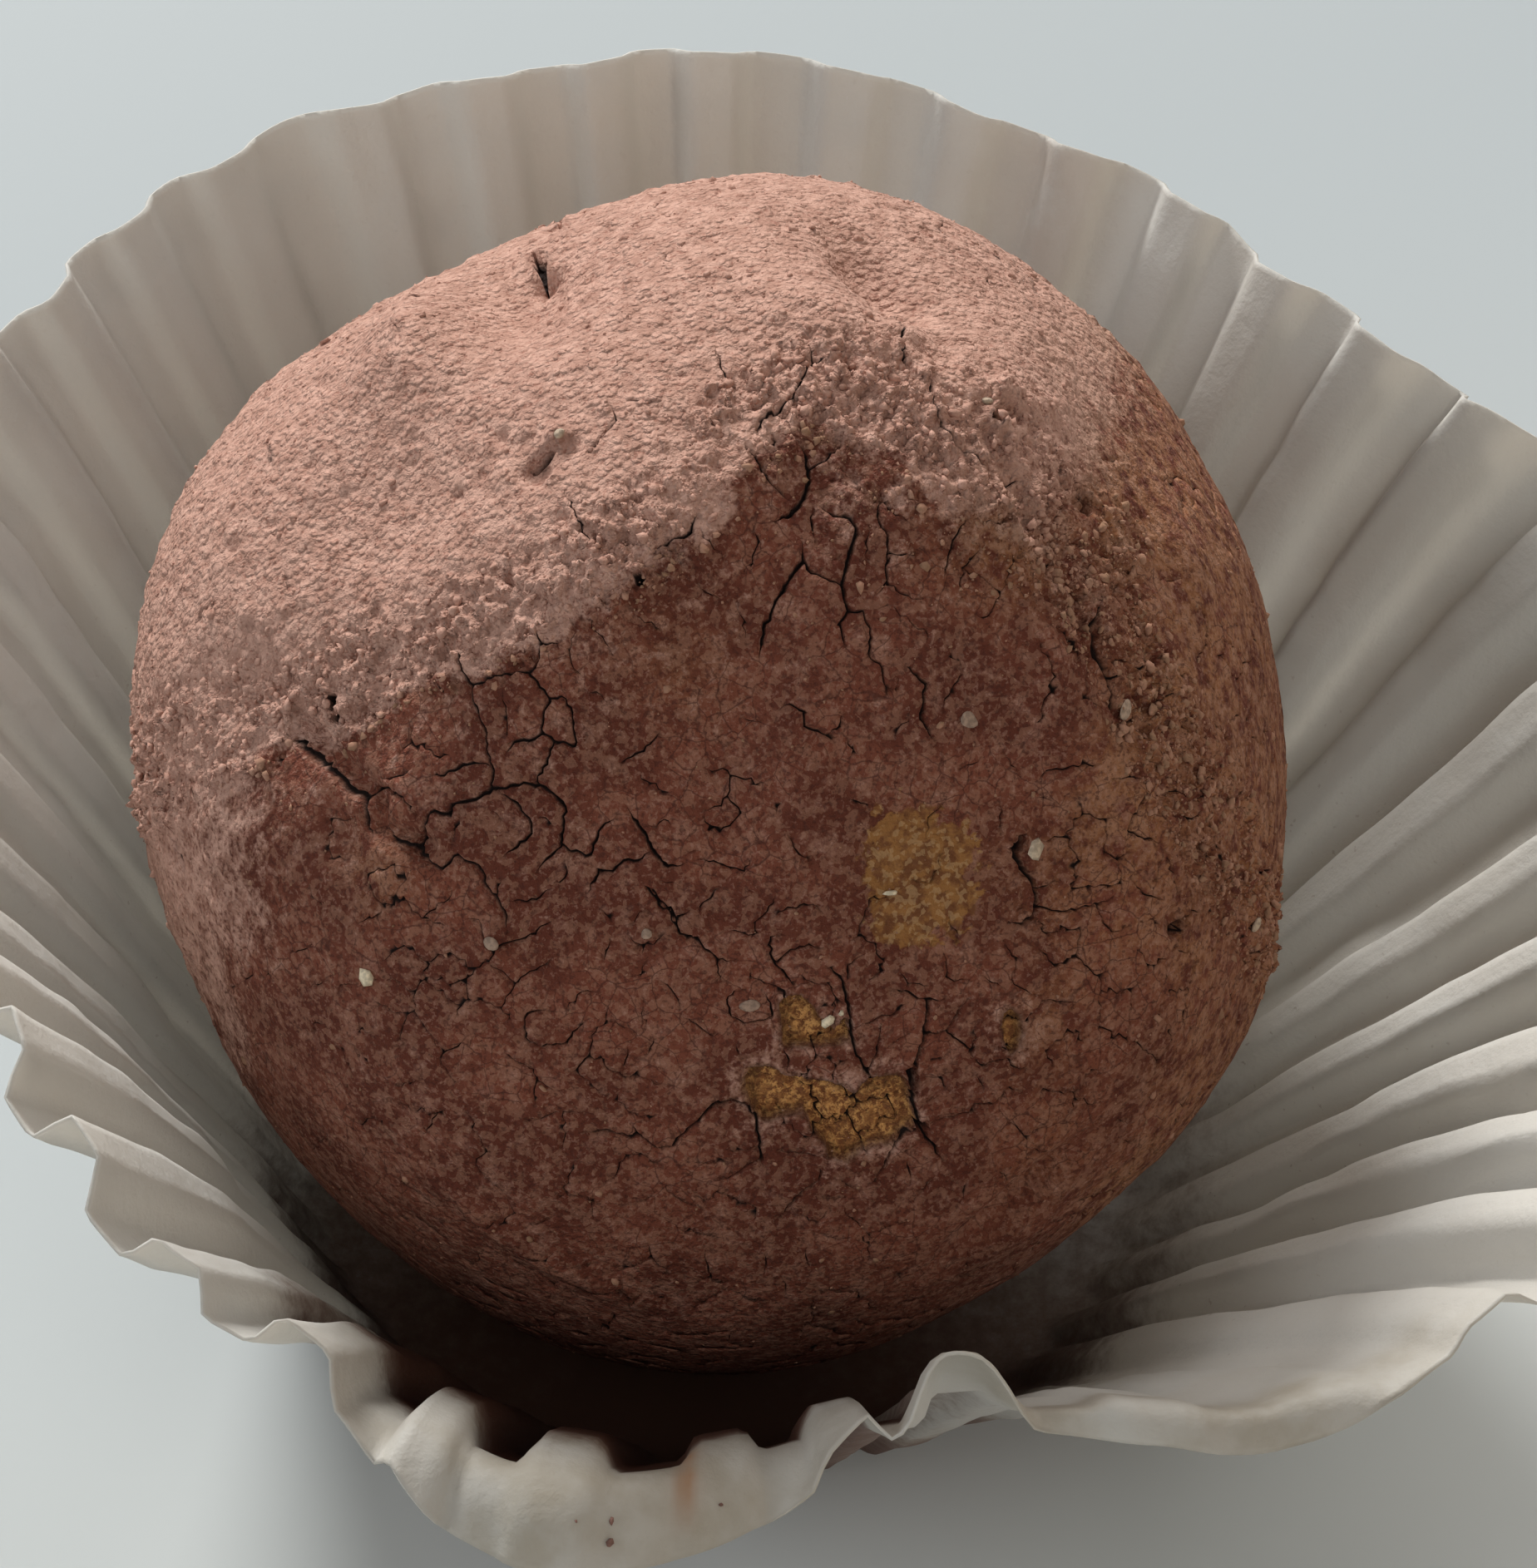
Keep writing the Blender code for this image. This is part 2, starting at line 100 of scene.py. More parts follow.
# Rounded hollows and bumps: across, up, length, width, turn in degrees, height.
SWELLS = (
    ("left slope hollow", -8.2, 6.2, 3.4, 3.3, 36, -1.05),
    ("plateau hump", -2.7, 4.8, 4.1, 1.7, 69, 0.24),
    ("upper left dent", -4.9, 12.1, 1.8, 2.6, 20, -0.95),
    ("upper left swell", -7.4, 10.9, 1.5, 2.1, 8, 0.67),
    ("left brow hollow", -8.9, 1.8, 4.3, 2.1, 8, -0.75),
    ("top hollow", 4.0, 12.0, 2.0, 0.9, -59, -0.95),
    ("top lip", 2.9, 10.5, 2.2, 1.3, -50, 0.48),
    ("top right bump", 6.6, 8.7, 3.6, 2.2, 65, 0.70),
    ("top bump", 4.7, 10.3, 0.8, 0.5, 60, 0.25),
    ("right shoulder", 7.0, 5.9, 1.5, 1.1, -12, 0.26),
    ("left hollow", -11.7, 2.2, 1.6, 1.1, -15, -0.25),
    ("under crease", -8.9, -1.7, 1.3, 0.7, -60, -0.30),
    ("right lobe", 11.9, 5.3, 1.6, 0.8, -60, 0.25),
    ("right crease, upper", 7.2, 6.4, 1.4, 0.35, -55, -0.34),
    ("right crease, lower", 9.2, 3.0, 1.8, 0.38, -65, -0.36),
    ("right ridge", 8.3, 2.6, 2.2, 0.5, -65, 0.18),
    ("low dimple", 7.4, -10.5, 1.9, 0.6, 28, -0.85),
    ("low edge", -4.3, -11.4, 3.2, 0.5, -30, 0.34),
    ("side knob", 13.7, -4.0, 0.7, 0.5, 70, 0.25),
)

# Small pits and lumps, steeper than the swells: across, up, radius, height.
PITS = (
    ("upper pit", -4.4, 12.9, 0.42, -0.50),
    ("edge notch", -3.9, 14.2, 0.50, -0.45),
    ("pit by crumb", -4.2, 7.2, 0.42, -0.45),
    ("crumb", -3.7, 8.0, 0.34, 0.25),
    ("pitted crumb", 6.9, 8.8, 0.42, 0.25),
    ("pit in crumb", 7.0, 8.3, 0.30, -0.40),
    ("right pit", 9.1, 6.5, 0.36, -0.45),
    ("left pit", -8.8, 1.4, 0.34, -0.35),
    ("low right pit", 11.2, -3.7, 0.36, -0.35),
    ("low left lump", -5.4, -4.3, 0.40, 0.20),
    ("flake", 8.0, -2.0, 0.40, 0.22),
)

# The deep fold at the left end of the brow, as places across and up.
FOLD_LINE = (
    (-10.3, 1.1), (-9.4, 0.3), (-8.7, -0.3), (-8.1, -0.7), (-8.1, -1.4), (-7.0, -1.9),
)
FOLD_DEPTH = 0.45
FOLD_WIDTH = 0.30

# Cracks of the crust: name, width in pixels, and the pixels that each passes.
CRACKS = (
    ("peak 1", 9, "962,532 970,552 972,563 974,576 967,596 951,617 931,626"),
    ("peak 2", 4, "972,563 987,556 1010,536"),
    ("peak 3", 3, "895,534 914,559 927,581 947,601"),
    ("middle 1", 9, "987,608 1003,619 1023,621 1030,634 1025,657 1018,684 1014,701 "
     "1016,719 1020,733"),
    ("middle 2", 5, "1020,733 1010,748 1014,768 1018,780"),
    ("middle 3", 4, "1020,733 1039,733 1047,755 1047,777 1045,786 1061,802 1065,826 "
     "1065,838"),
    ("middle 4", 4, "977,610 977,630 980,648"),
    ("middle 5", 8, "965,652 967,672 951,692 936,717 927,737 918,755 916,773 913,790"),
    ("middle 6", 6, "967,672 976,688 994,695 1014,701"),
    ("middle 7", 4, "1059,594 1056,621 1068,643 1068,666 1068,697 1056,713"),
    ("middle 8", 3, "1068,664 1101,666"),
    ("middle 9", 3, "1068,697 1079,708 1097,719 1110,720"),
    ("middle 10", 4, "1164,623 1150,643 1141,666 1135,697"),
    ("top 1", 5, "972,418 978,434 969,449 954,476 934,492 916,503 911,518"),
    ("top 2", 3, "978,436 994,431"),
    ("top 3", 6, "1079,380 1083,407 1085,434 1092,445"),
    ("top 4", 4, "1114,449 1123,476 1126,503 1150,536 1172,543 1190,563 1206,583 "
     "1217,610"),
    ("top 5", 3, "1206,583 1226,581"),
    ("top 6", 5, "735,490 741,504 725,522 706,540"),
    ("top 7", 5, "838,618 826,642 800,652 781,668"),
    ("top 8", 3, "678,595 690,612 700,640 716,652"),
    ("top 9", 3, "860,415 866,436 880,462"),
    ("right 1", 7, "1088,800 1103,811 1114,822 1110,849 1108,864 1123,891"),
    ("right 2", 9, "1324,717 1311,751 1313,777 1320,795 1329,815 1351,811"),
    ("right 3", 6, "1329,815 1335,835 1335,873"),
    ("right 4", 4, "938,853 949,846 967,855 967,873 989,882 1003,891"),
    ("right 5", 4, "1014,858 1010,873 998,880"),
    ("right 6", 4, "1386,944 1379,962 1367,980 1360,1001"),
    ("right 7", 3, "1360,998 1376,1007 1400,1014"),
    ("right 8", 3, "1363,1059 1379,1076 1400,1082"),
    ("fold 1", 13, "354,886 374,906 397,926 408,937 417,950 437,959 435,979 439,997 "
     "446,1004"),
    ("fold 2", 6, "437,959 452,948 464,948 481,959 495,979"),
    ("fold 3", 8, "464,997 477,1013 499,1019 513,1035 528,1046 548,1028 562,1037 "
     "573,1042"),
    ("left 1", 9, "499,1019 508,1002 510,982 517,975 539,982 539,968 557,964 573,959 "
     "589,948 606,948 627,941 647,944 664,955 678,970"),
    ("left 2", 5, "589,948 591,926 584,906 582,877 568,845 566,823 553,805 551,778"),
    ("left 3", 4, "457,937 481,932 490,926"),
    ("left 4", 7, "517,932 531,932 548,923 566,917 586,919"),
    ("left 5", 6, "606,910 615,892 633,890 649,881 664,890 687,897"),
    ("left 6", 5, "649,881 651,859 658,839 644,819 633,807 606,809 566,823"),
    ("left 7", 5, "633,807 644,796 651,774 673,769"),
    ("left 8", 3, "651,774 644,758"),
    ("left 9", 5, "664,890 656,912 644,939"),
    ("left 10", 4, "658,839 673,836 685,850 689,881 689,897"),
    ("left 11", 6, "597,950 620,966 635,984 638,1002 620,1019 606,1028"),
    ("left 12", 6, "676,993 673,1015 685,1024 709,1028 718,1006 727,990 740,984"),
    ("left 13", 9, "754,973 767,993 781,1015 789,1028 803,1042 821,1040"),
    ("left 14", 7, "781,1024 767,1035 749,1035 736,1048 718,1046 714,1060 707,1073"),
    ("left 15", 4, "673,1019 656,1033 644,1048"),
    ("left 16", 6, "575,1042 584,1066 597,1077 602,1055"),
    ("left 17", 6, "597,1077 606,1095 611,1118"),
    ("left 18", 4, "611,1084 644,1082 660,1069"),
    ("left 19", 3, "785,1069 807,1100 816,1122 839,1127"),
    ("left 20", 4, "794,877 781,894 758,910 745,917"),
    ("left 21", 6, "678,970 676,993"),
    ("low left 1", 4, "664,1216 647,1216 633,1220 629,1238 635,1254 651,1260 680,1256 "
     "687,1243 702,1231"),
    ("low left 2", 4, "606,1269 624,1280 640,1287 644,1301 656,1307 673,1314"),
    ("low left 3", 3, "644,1300 642,1327"),
    ("low right 1", 11, "1233,1005 1220,1018 1224,1034 1233,1046 1242,1059 1247,1075 "
     "1245,1094 1240,1105 1228,1111 1215,1109"),
    ("low right 2", 4, "1247,1068 1270,1059"),
    ("low right 3", 4, "1247,1091 1261,1093 1283,1096 1301,1091 1322,1087 1340,1080"),
    ("low right 4", 3, "1322,1087 1326,1109 1338,1121 1358,1114"),
    ("low 1", 8, "994,1162 1011,1176 1017,1194 1022,1219 1024,1244 1029,1266 1044,1291"),
    ("low 2", 4, "1019,1176 1019,1159 1035,1148"),
    ("low 3", 4, "1027,1237 1054,1225 1076,1218 1090,1207"),
    ("low 4", 4, "1044,1287 1054,1269 1058,1244 1061,1232"),
    ("low 5", 8, "1133,1394 1122,1376 1108,1359 1101,1334 1095,1312 1097,1291 "
     "1103,1273 1111,1248 1113,1223 1115,1203"),
    ("low 6", 4, "1115,1203 1103,1200 1088,1191 1069,1189"),
    ("low 7", 3, "1115,1203 1133,1201"),
    ("low 8", 5, "1113,1244 1126,1243 1138,1237 1147,1223 1154,1209 1163,1201"),
    ("low 9", 4, "1138,1237 1147,1248 1161,1257 1170,1262 1172,1237"),
    ("low 10", 4, "1167,1271 1181,1282 1194,1275 1210,1271 1219,1282 1235,1285"),
    ("low 11", 4, "1102,1296 1122,1296 1151,1287"),
    ("low 12", 3, "1129,1296 1140,1309"),
    ("low 13", 5, "1113,1350 1136,1343 1169,1335 1170,1325 1192,1326 1211,1305 "
     "1226,1312"),
    ("low 14", 5, "1106,1359 1090,1360 1076,1375 1061,1405 1047,1423"),
    ("low 15", 4, "1090,1394 1095,1419"),
    ("low 16", 8, "861,1326 881,1325 897,1330 910,1348 913,1369 916,1398"),
    ("low 17", 4, "840,1351 847,1341 861,1326"),
    ("low 18", 4, "935,1387 972,1389 994,1394"),
    ("low 19", 3, "876,1385 911,1384"),
    ("low 20", 5, "931,1157 944,1171 954,1187"),
    ("low 21", 5, "931,1157 924,1137 927,1126 940,1125"),
    ("low 22", 4, "935,1157 951,1142 972,1135 986,1141"),
    ("ring", 4, "897,1189 883,1191 874,1203 879,1223 894,1232 913,1228 929,1223 "
     "927,1207 917,1191"),
    ("low 23", 4, "942,1260 949,1276 947,1291"),
    ("low 24", 4, "933,1101 947,1091 977,1087 986,1094"),
    ("low 25", 3, "947,1005 958,1023 972,1037"),
    ("low 26", 4, "840,1034 858,1035 879,1044 895,1047 902,1035"),
    ("low 27", 5, "779,1068 797,1093 806,1091 813,1105 817,1123 836,1129 851,1143 "
     "863,1154 885,1154"),
    ("low 28", 3, "813,1105 829,1096"),
    ("low 29", 3, "863,1154 865,1179"),
    ("low 30", 4, "724,1093 736,1107"),
    ("low 31", 4, "733,1132 726,1155"),
    ("low 32", 4, "792,1177 806,1189 815,1202 817,1214"),
    ("low 33", 4, "819,1221 836,1232 854,1246 863,1245"),
    ("low 34", 4, "754,1264 752,1275 747,1286"),
    ("low 35", 3, "785,1250 779,1268"),
    ("low 36", 8, "701,1364 729,1362 747,1366 758,1371 767,1366 758,1354"),
    ("low 37", 5, "767,1366 790,1382 808,1380 815,1370 836,1352 844,1343 854,1332 "
     "861,1327"),
    ("low 38", 4, "854,1425 876,1420 894,1407 915,1396"),
    ("low 39", 4, "794,1425 808,1437 826,1450 844,1457"),
    ("low 40", 5, "986,1407 985,1420 965,1434 954,1446 933,1466"),
    ("low 41", 4, "1010,1418 1029,1432"),
    ("low 42", 3, "944,1459 965,1462 983,1471 994,1459"),
)

# Places where the crust has flaked off: name, depth, softness of the edge in mm, and
# the pixels round each.
CHIPS = (
    ("notched", 0.24, 0.05, "942,1259 938,1230 936,1209 947,1196 963,1196 978,1209 "
     "986,1223 1003,1237 1015,1223 1020,1225 1024,1253 994,1257 965,1259"),
    ("long", 0.27, 0.05, "894,1298 904,1284 926,1282 947,1293 990,1298 1011,1303 "
     "1026,1314 1044,1294 1072,1291 1090,1296 1095,1319 1103,1348 1090,1360 1076,1373 "
     "1051,1378 1033,1385 1019,1396 995,1393 992,1376 976,1359 965,1337 947,1341 "
     "926,1348 911,1344 901,1330 895,1316"),
    ("small", 0.18, 0.05, "1213,1209 1224,1219 1228,1237 1222,1257 1211,1266 1206,1251 "
     "1201,1234 1204,1216"),
    ("middle", 0.07, 0.45, "1054,973 1104,968 1161,998 1180,1040 1172,1094 1151,1130 "
     "1090,1141 1044,1123 1035,1059 1044,998"),
)

# Deep little holes in the crust: name, depth and the pixels round each.
HOLES = (
    ("slot by the crumb", 0.55, "660,531 670,541 664,552 655,565 642,573 635,566 645,552 "
     "650,541"),
    ("hole in the lump", 0.50, "1190,492 1203,484 1215,494 1211,508 1199,514 1190,506"),
    ("half moon", 0.50, "1286,592 1299,588 1309,603 1309,622 1300,627 1296,613 1291,601"),
    ("plateau hole", 0.35, "757,689 771,686 779,696 776,706 763,703"),
    ("left hole", 0.35, "393,834 405,833 411,851 407,872 397,869 392,851"),
    ("low right hole", 0.35, "1401,1123 1411,1108 1424,1101 1428,1110 1417,1124 1406,1129"),
    ("crack mouth", 0.45, "1222,1004 1233,1001 1238,1010 1234,1024 1226,1032 1219,1020"),
    ("chip corner", 0.45, "1087,1285 1101,1280 1106,1300 1103,1321 1094,1306"),
    ("chip foot", 0.40, "1098,1347 1112,1346 1121,1360 1109,1366 1100,1358"),
    ("chip slot", 0.30, "995,1350 1004,1344 1011,1346 1003,1354"),
    ("edge notch", 0.45, "640,302 656,304 660,318 648,328 637,318"),
    ("upper notch", 0.40, "668,254 681,256 684,270 673,276 665,266"),
)
HOLE_SOFTNESS = 0.07
# How much painted shade darkens the floor of a hole.
HOLE_PAINTED_SHADE = 0.72

# Pale flecks and flakes: pixel, length, width and height in mm, turn, and how pale.
FLECKS = (
    ("cream fleck", (443, 1175), 0.50, 0.46, 0.30, 10, 1.0),
    ("white sliver", (1070, 1073), 0.38, 0.13, 0.12, 5, 1.0),
    ("white chip", (995, 1228), 0.40, 0.26, 0.16, 25, 1.0),
    ("white point", (1012, 1218), 0.16, 0.12, 0.10, 60, 1.0),
    ("pale flake", (1243, 1022), 0.62, 0.42, 0.16, 65, 0.55),
    ("flat flake 1", (1165, 865), 0.62, 0.52, 0.07, 20, 0.22),
    ("flat flake 2", (1349, 855), 0.72, 0.46, 0.09, 75, 0.30),
    ("flat flake 3", (592, 1133), 0.55, 0.42, 0.12, -20, 0.22),
    ("flat flake 4", (777, 1123), 0.40, 0.36, 0.08, 40, 0.22),
    ("flat flake 5", (902, 1210), 0.62, 0.46, 0.06, 0, 0.18),
    ("side fleck", (1508, 1112), 0.60, 0.40, 0.22, 10, 0.45),
    ("lump face", (1186, 483), 0.44, 0.26, 0.20, 15, 0.45),
    ("brow crumb", (672, 520), 0.34, 0.30, 0.26, 30, 0.45),
)
SHARP_PALENESS = 0.5
FLECK_ROUGHNESS = 0.30
FLECK_RISE = 0.25

# Paper case: lengths in mm, and how far the rim curls outward in degrees.
BASE_RADIUS = 10.5
PAPER_LENGTH = 23.0
PAPER_THICKNESS = 0.08
CORNER_LENGTH = 1.6
PLEAT_COUNT = 40
COLUMNS_PER_PLEAT = 14
PLEAT_PHASE = 0.3
PLEAT_DEPTH_AT_BASE = 0.14
LIP_CURL = 10.0
BASE_RINGS = (0.2, 0.45, 0.7, 0.88)
PROFILE_STEPS = 300
WALL_RINGS = 62
FINE_RINGS = 14
FINE_RIM_SHARE = 0.90

# Length of the paper from base to rim, by azimuth.
WALL_LENGTHS = (
    (0, 22.6), (20, 21.8), (40, 21.2), (60, 21.6), (80, 22.6), (100, 23.2), (180, 23.0),
    (220, 22.4), (234, 21.4), (246, 19.6), (262, 21.6), (275, 19.0), (284, 19.4),
    (294, 21.4), (306, 22.4),
)

# Lean of the wall from upright in degrees, by azimuth.
WALL_LEANS = (
    (0, 40.0), (20, 35.5), (40, 28.0), (60, 28.0), (80, 26.0), (100, 23.5),
    (125, 25.5), (150, 24.5), (180, 24.0), (200, 22.5), (212, 22.0), (222, 24.5),
    (232, 27.0), (241, 27.5), (250, 30.0), (258, 32.0), (266, 32.0), (274, 30.0),
    (282, 29.0), (290, 30.5), (302, 34.0), (314, 38.0), (330, 39.5), (345, 41.5),
)

# Depth of the pleats at the rim by azimuth: half of the fold's height.
PLEAT_DEPTHS = (
    (0, 0.70), (20, 0.55), (45, 0.35), (70, 0.28), (100, 0.22), (150, 0.28),
    (185, 0.42), (205, 0.50), (225, 0.55), (245, 0.55), (259, 0.45), (272, 0.45),
    (284, 0.35), (296, 0.14), (312, 0.16), (322, 0.60), (335, 0.75),
)

# Cocoa specks on the flap: pixel and size in mm.
PAPER_SPECKS = ((735, 1860, 0.26), (737, 1817, 0.20), (690, 1822, 0.10),
                (868, 1800, 0.14))
SPECK_SEARCH_PIXELS = 14.0
SPECK_RISE = 0.02
SPECK_ROUGHNESS = 0.25

# The front flap that lies turned over, the turned rim beside it and the small tab
# between them: azimuth and span in degrees, and shares of the wall's length.
FRONT_FLAP = {"azimuth": 263.0, "span": 13.6, "curl": 95.0, "start": 0.84, "reach": 0.14,
              "flat": 0.72, "flat_start": 0.80}
TURNED_RIM = {"azimuth": 299.0, "span": 11.0, "curl": 95.0, "start": 0.935, "reach": 0.05}
RIM_TAB = {"azimuth": 286.0, "span": 2.7, "start": 0.86, "rise": 1.3, "push": 0.5,
           "flat": 0.8}
PRESSED_REACH = 0.10

# Stains of the paper, and painted shade on the flap and turned rim that lie in shadow:
# azimuth, span in degrees, where along the wall they start, over which share of it, and for
# the stains also where they end and how strong they are.
PAPER_STAINS = ((268.5, 0.7, 0.80, 0.99, 1.0), (65.0, 5.0, 0.75, 1.05, 0.3))
STAIN_REACH = 0.08
PAPER_PAINTED_SHADES = ((263.0, 19.0, 0.76, 0.08), (300.0, 17.0, 0.86, 0.06))

# Cocoa on the case, partly loose cocoa and partly painted shade: at the front, in the gap
# under the truffle, and low on the wall all round.
FRONT_COCOA_AND_SHADE = {"azimuth": 262.0, "span": 27.0, "share": 0.90, "end": 0.91, "reach": 0.20}
LOW_COCOA_AND_SHADE = {"span": 62.0, "share": 0.30, "more": 0.45, "end": 0.44, "reach": 0.34}

random = np.random.default_rng(7)


# ---------------------------------------------------------------- shapes and noise

def unit(vectors):
    return vectors / np.linalg.norm(vectors, axis=-1, keepdims=True)


def smooth_step(value):
    value = np.clip(value, 0.0, 1.0)
    return value * value * (3.0 - 2.0 * value)


def lattice(corner, seed):
    """Repeatable number from 0 to 1 at each corner of a cubic lattice."""
    mixed = corner[:, 0] * 73856093 ^ corner[:, 1] * 19349663 ^ corner[:, 2] * 83492791
    mixed = (mixed ^ seed * 668265263) & 0xFFFFFFFF
    for _ in range(2):
        mixed = (mixed ^ mixed >> 16) * 0x45D9F3B & 0xFFFFFFFF
    return ((mixed ^ mixed >> 16) & 0xFFFFFF) / 0xFFFFFF


def noise(points, size, seed):
    """Smooth noise from -1 to 1 whose lumps are about size across."""
    cell = points / size
    corner = np.floor(cell).astype(np.int64)
    share = cell - corner
    share = share ** 3 * (share * (share * 6.0 - 15.0) + 10.0)
    total = np.zeros(len(points))
    for step in itertools.product((0, 1), repeat=3):
        weight = np.where(step, share, 1.0 - share).prod(axis=1)
        total += weight * lattice(corner + step, seed)
    return total * 2.0 - 1.0


def periodic(stations, degrees):
    """Smooth closed curve through (angle in degrees, value) stations."""
    angles = np.array([station[0] for station in stations], float)
    values = np.array([station[1] for station in stations], float)
    angles = np.concatenate((angles - 360.0, angles, angles + 360.0))
    values = np.tile(values, 3)
    return smooth_curve(angles, values, np.mod(degrees, 360.0))


def smooth_curve(places, values, where):
    """Smooth curve through values at rising places."""
    after = np.clip(np.searchsorted(places, where, side="right"), 1, len(places) - 1)
    before = after - 1
    span = places[after] - places[before]
    share = np.clip((where - places[before]) / span, 0.0, 1.0)
    slope = (values[2:] - values[:-2]) / (places[2:] - places[:-2])
    slope = np.concatenate((slope[:1], slope, slope[-1:]))
    rise = share * share * (3.0 - 2.0 * share)
    lift = share * (1.0 - share) ** 2 * slope[before] * span
    drop = share ** 2 * (share - 1.0) * slope[after] * span
    return values[before] * (1.0 - rise) + values[after] * rise + lift + drop


def from_angles(azimuth, elevation):
    """Unit direction from an azimuth and an elevation in degrees."""
    turn, tilt = math.radians(azimuth), math.radians(elevation)
    return np.array((math.cos(tilt) * math.cos(turn),
                     math.cos(tilt) * math.sin(turn), math.sin(tilt)))


# Directions of the photograph: to its right, up in it, and out of it to the viewer.
ACROSS = np.array((1.0, 0.0, 0.0))
UP = np.array((0.0, math.sin(SEEN_FROM), math.cos(SEEN_FROM)))
TOWARD = np.array((0.0, -math.cos(SEEN_FROM), math.sin(SEEN_FROM)))


def seen(across, up):
    """Unit direction of a place on the near side, given in mm across and up."""
    x, y = across / TRUFFLE_RADIUS, up / TRUFFLE_RADIUS
    return x * ACROSS + y * UP + math.sqrt(max(0.0, 1.0 - x * x - y * y)) * TOWARD


def tangents(direction):
    """Two unit vectors on the ball's surface at a direction: across and up."""
    right = unit(ACROSS - direction * direction.dot(ACROSS))
    return right, np.cross(direction, right)


# ---------------------------------------------------------------- form of the truffle

def edge_radius(directions):
    """The ball with its measured edge, fading to a true ball toward the viewer."""
    angle = np.degrees(np.arctan2(directions @ UP, directions @ ACROSS))
    share = 1.0 - (directions @ TOWARD) ** 2
    edge = periodic(EDGE_RADII, angle)
    return TRUFFLE_RADIUS + (edge - TRUFFLE_RADIUS) * share ** 2


def press_faces(directions, radius):
    """Soft minimum of the ball and its flatter, hand-pressed faces."""
    total = np.exp((TRUFFLE_RADIUS - radius) / FACE_SOFTNESS)
    for _, azimuth, elevation, distance, roundness in PRESSED_FACES:
        inset = roundness - distance
        along = -inset * (directions @ from_angles(azimuth, elevation))
        face = along + np.sqrt(along ** 2 + roundness ** 2 - inset ** 2)
        total += np.exp((TRUFFLE_RADIUS - face) / FACE_SOFTNESS)
    return TRUFFLE_RADIUS - FACE_SOFTNESS * np.log(total)


def below_brow(directions):
    """Distance below the brow line, and how far the surface drops there."""
    line = np.array(BROW)
    x = directions @ ACROSS * TRUFFLE_RADIUS
    y = directions @ UP * TRUFFLE_RADIUS
    level = smooth_curve(line[:, 0], line[:, 1], x)
    ahead = smooth_curve(line[:, 0], line[:, 1], x + BROW_STEP)
    behind = smooth_curve(line[:, 0], line[:, 1], x - BROW_STEP)
    drop = smooth_curve(line[:, 0], line[:, 2], x)
    slope = (ahead - behind) / (2.0 * BROW_STEP)
    distance = (level - y) / np.sqrt(1.0 + slope ** 2)
    near_side = smooth_step((directions @ TOWARD) / 0.3)
    return distance, drop * near_side


def brow_relief(directions):
    """The step down over the brow, which fades out farther down the front."""
    distance, drop = below_brow(directions)
    fall = smooth_step((distance - BROW_DROP_START) / BROW_DROP_WIDTH)
    past = np.clip(distance - BROW_DROP_START - BROW_DROP_WIDTH, 0.0, None)
    return -drop * fall * np.exp(-(past / BROW_FADE) ** 2)


def local_places(directions, across, up, turn):
    """Places round a seen point on its own turned axes, and which are near."""
    middle = seen(across, up)
    right, above = tangents(middle)
    x = directions @ right * TRUFFLE_RADIUS
    y = directions @ above * TRUFFLE_RADIUS
    cosine, sine = math.cos(math.radians(turn)), math.sin(math.radians(turn))
    near = directions @ middle > 0.2
    return x * cosine + y * sine, y * cosine - x * sine, near


def swell_relief(directions):
    """The rounded hollows and bumps."""
    relief = np.zeros(len(directions))
    for _, across, up, length, width, turn, height in SWELLS:
        x, y, near = local_places(directions, across, up, turn)
        relief += near * height * np.exp(-(x / length) ** 2 - (y / width) ** 2)
    return relief


def pit_relief(directions):
    """The small steep pits and lumps."""
    relief = np.zeros(len(directions))
    for _, across, up, radius, height in PITS:
        x, y, near = local_places(directions, across, up, 0.0)
        relief += near * height * np.exp(-((x * x + y * y) / radius ** 2) ** 1.5)
    return relief


def fold_relief(directions):
    """The deep fold at the left end of the brow."""
    nearest = np.full(len(directions), np.inf)
    corners = [seen(*place) for place in FOLD_LINE]
    for start, end in zip(corners[:-1], corners[1:]):
        step = end - start
        share = np.clip((directions - start) @ step / step.dot(step), 0.0, 1.0)
        gap = np.linalg.norm(directions - start - share[:, None] * step, axis=1)
        nearest = np.minimum(nearest, gap * TRUFFLE_RADIUS)
    return -FOLD_DEPTH * np.exp(-(nearest / FOLD_WIDTH) ** 2)


def form_radius(directions):
    """Radius of the truffle's main form along each direction."""
    radius = press_faces(directions, edge_radius(directions))
    radius += brow_relief(directions) + swell_relief(directions)
    return radius + pit_relief(directions) + fold_relief(directions)


# ---------------------------------------------------------------- photo to truffle

TRUFFLE_PIXEL_RADIUS = TRUFFLE_PIXELS_ACROSS / 2.0
FOCAL_PIXELS = (TRUFFLE_PIXEL_RADIUS / TRUFFLE_RADIUS
                * math.sqrt(CAMERA_DISTANCE ** 2 - TRUFFLE_RADIUS ** 2))
AIM = (TRUFFLE_CENTRE
       + ACROSS * (PHOTO_SIZE[0] / 2 - TRUFFLE_PIXEL[0]) / FOCAL_PIXELS * CAMERA_DISTANCE
       - UP * (PHOTO_SIZE[1] / 2 - TRUFFLE_PIXEL[1]) / FOCAL_PIXELS * CAMERA_DISTANCE)
CAMERA_PLACE = AIM + TOWARD * CAMERA_DISTANCE

# Steps toward the surface that a pixel's ray meets, and how far each goes.
SURFACE_STEPS = 12
SURFACE_GAIN = 0.8


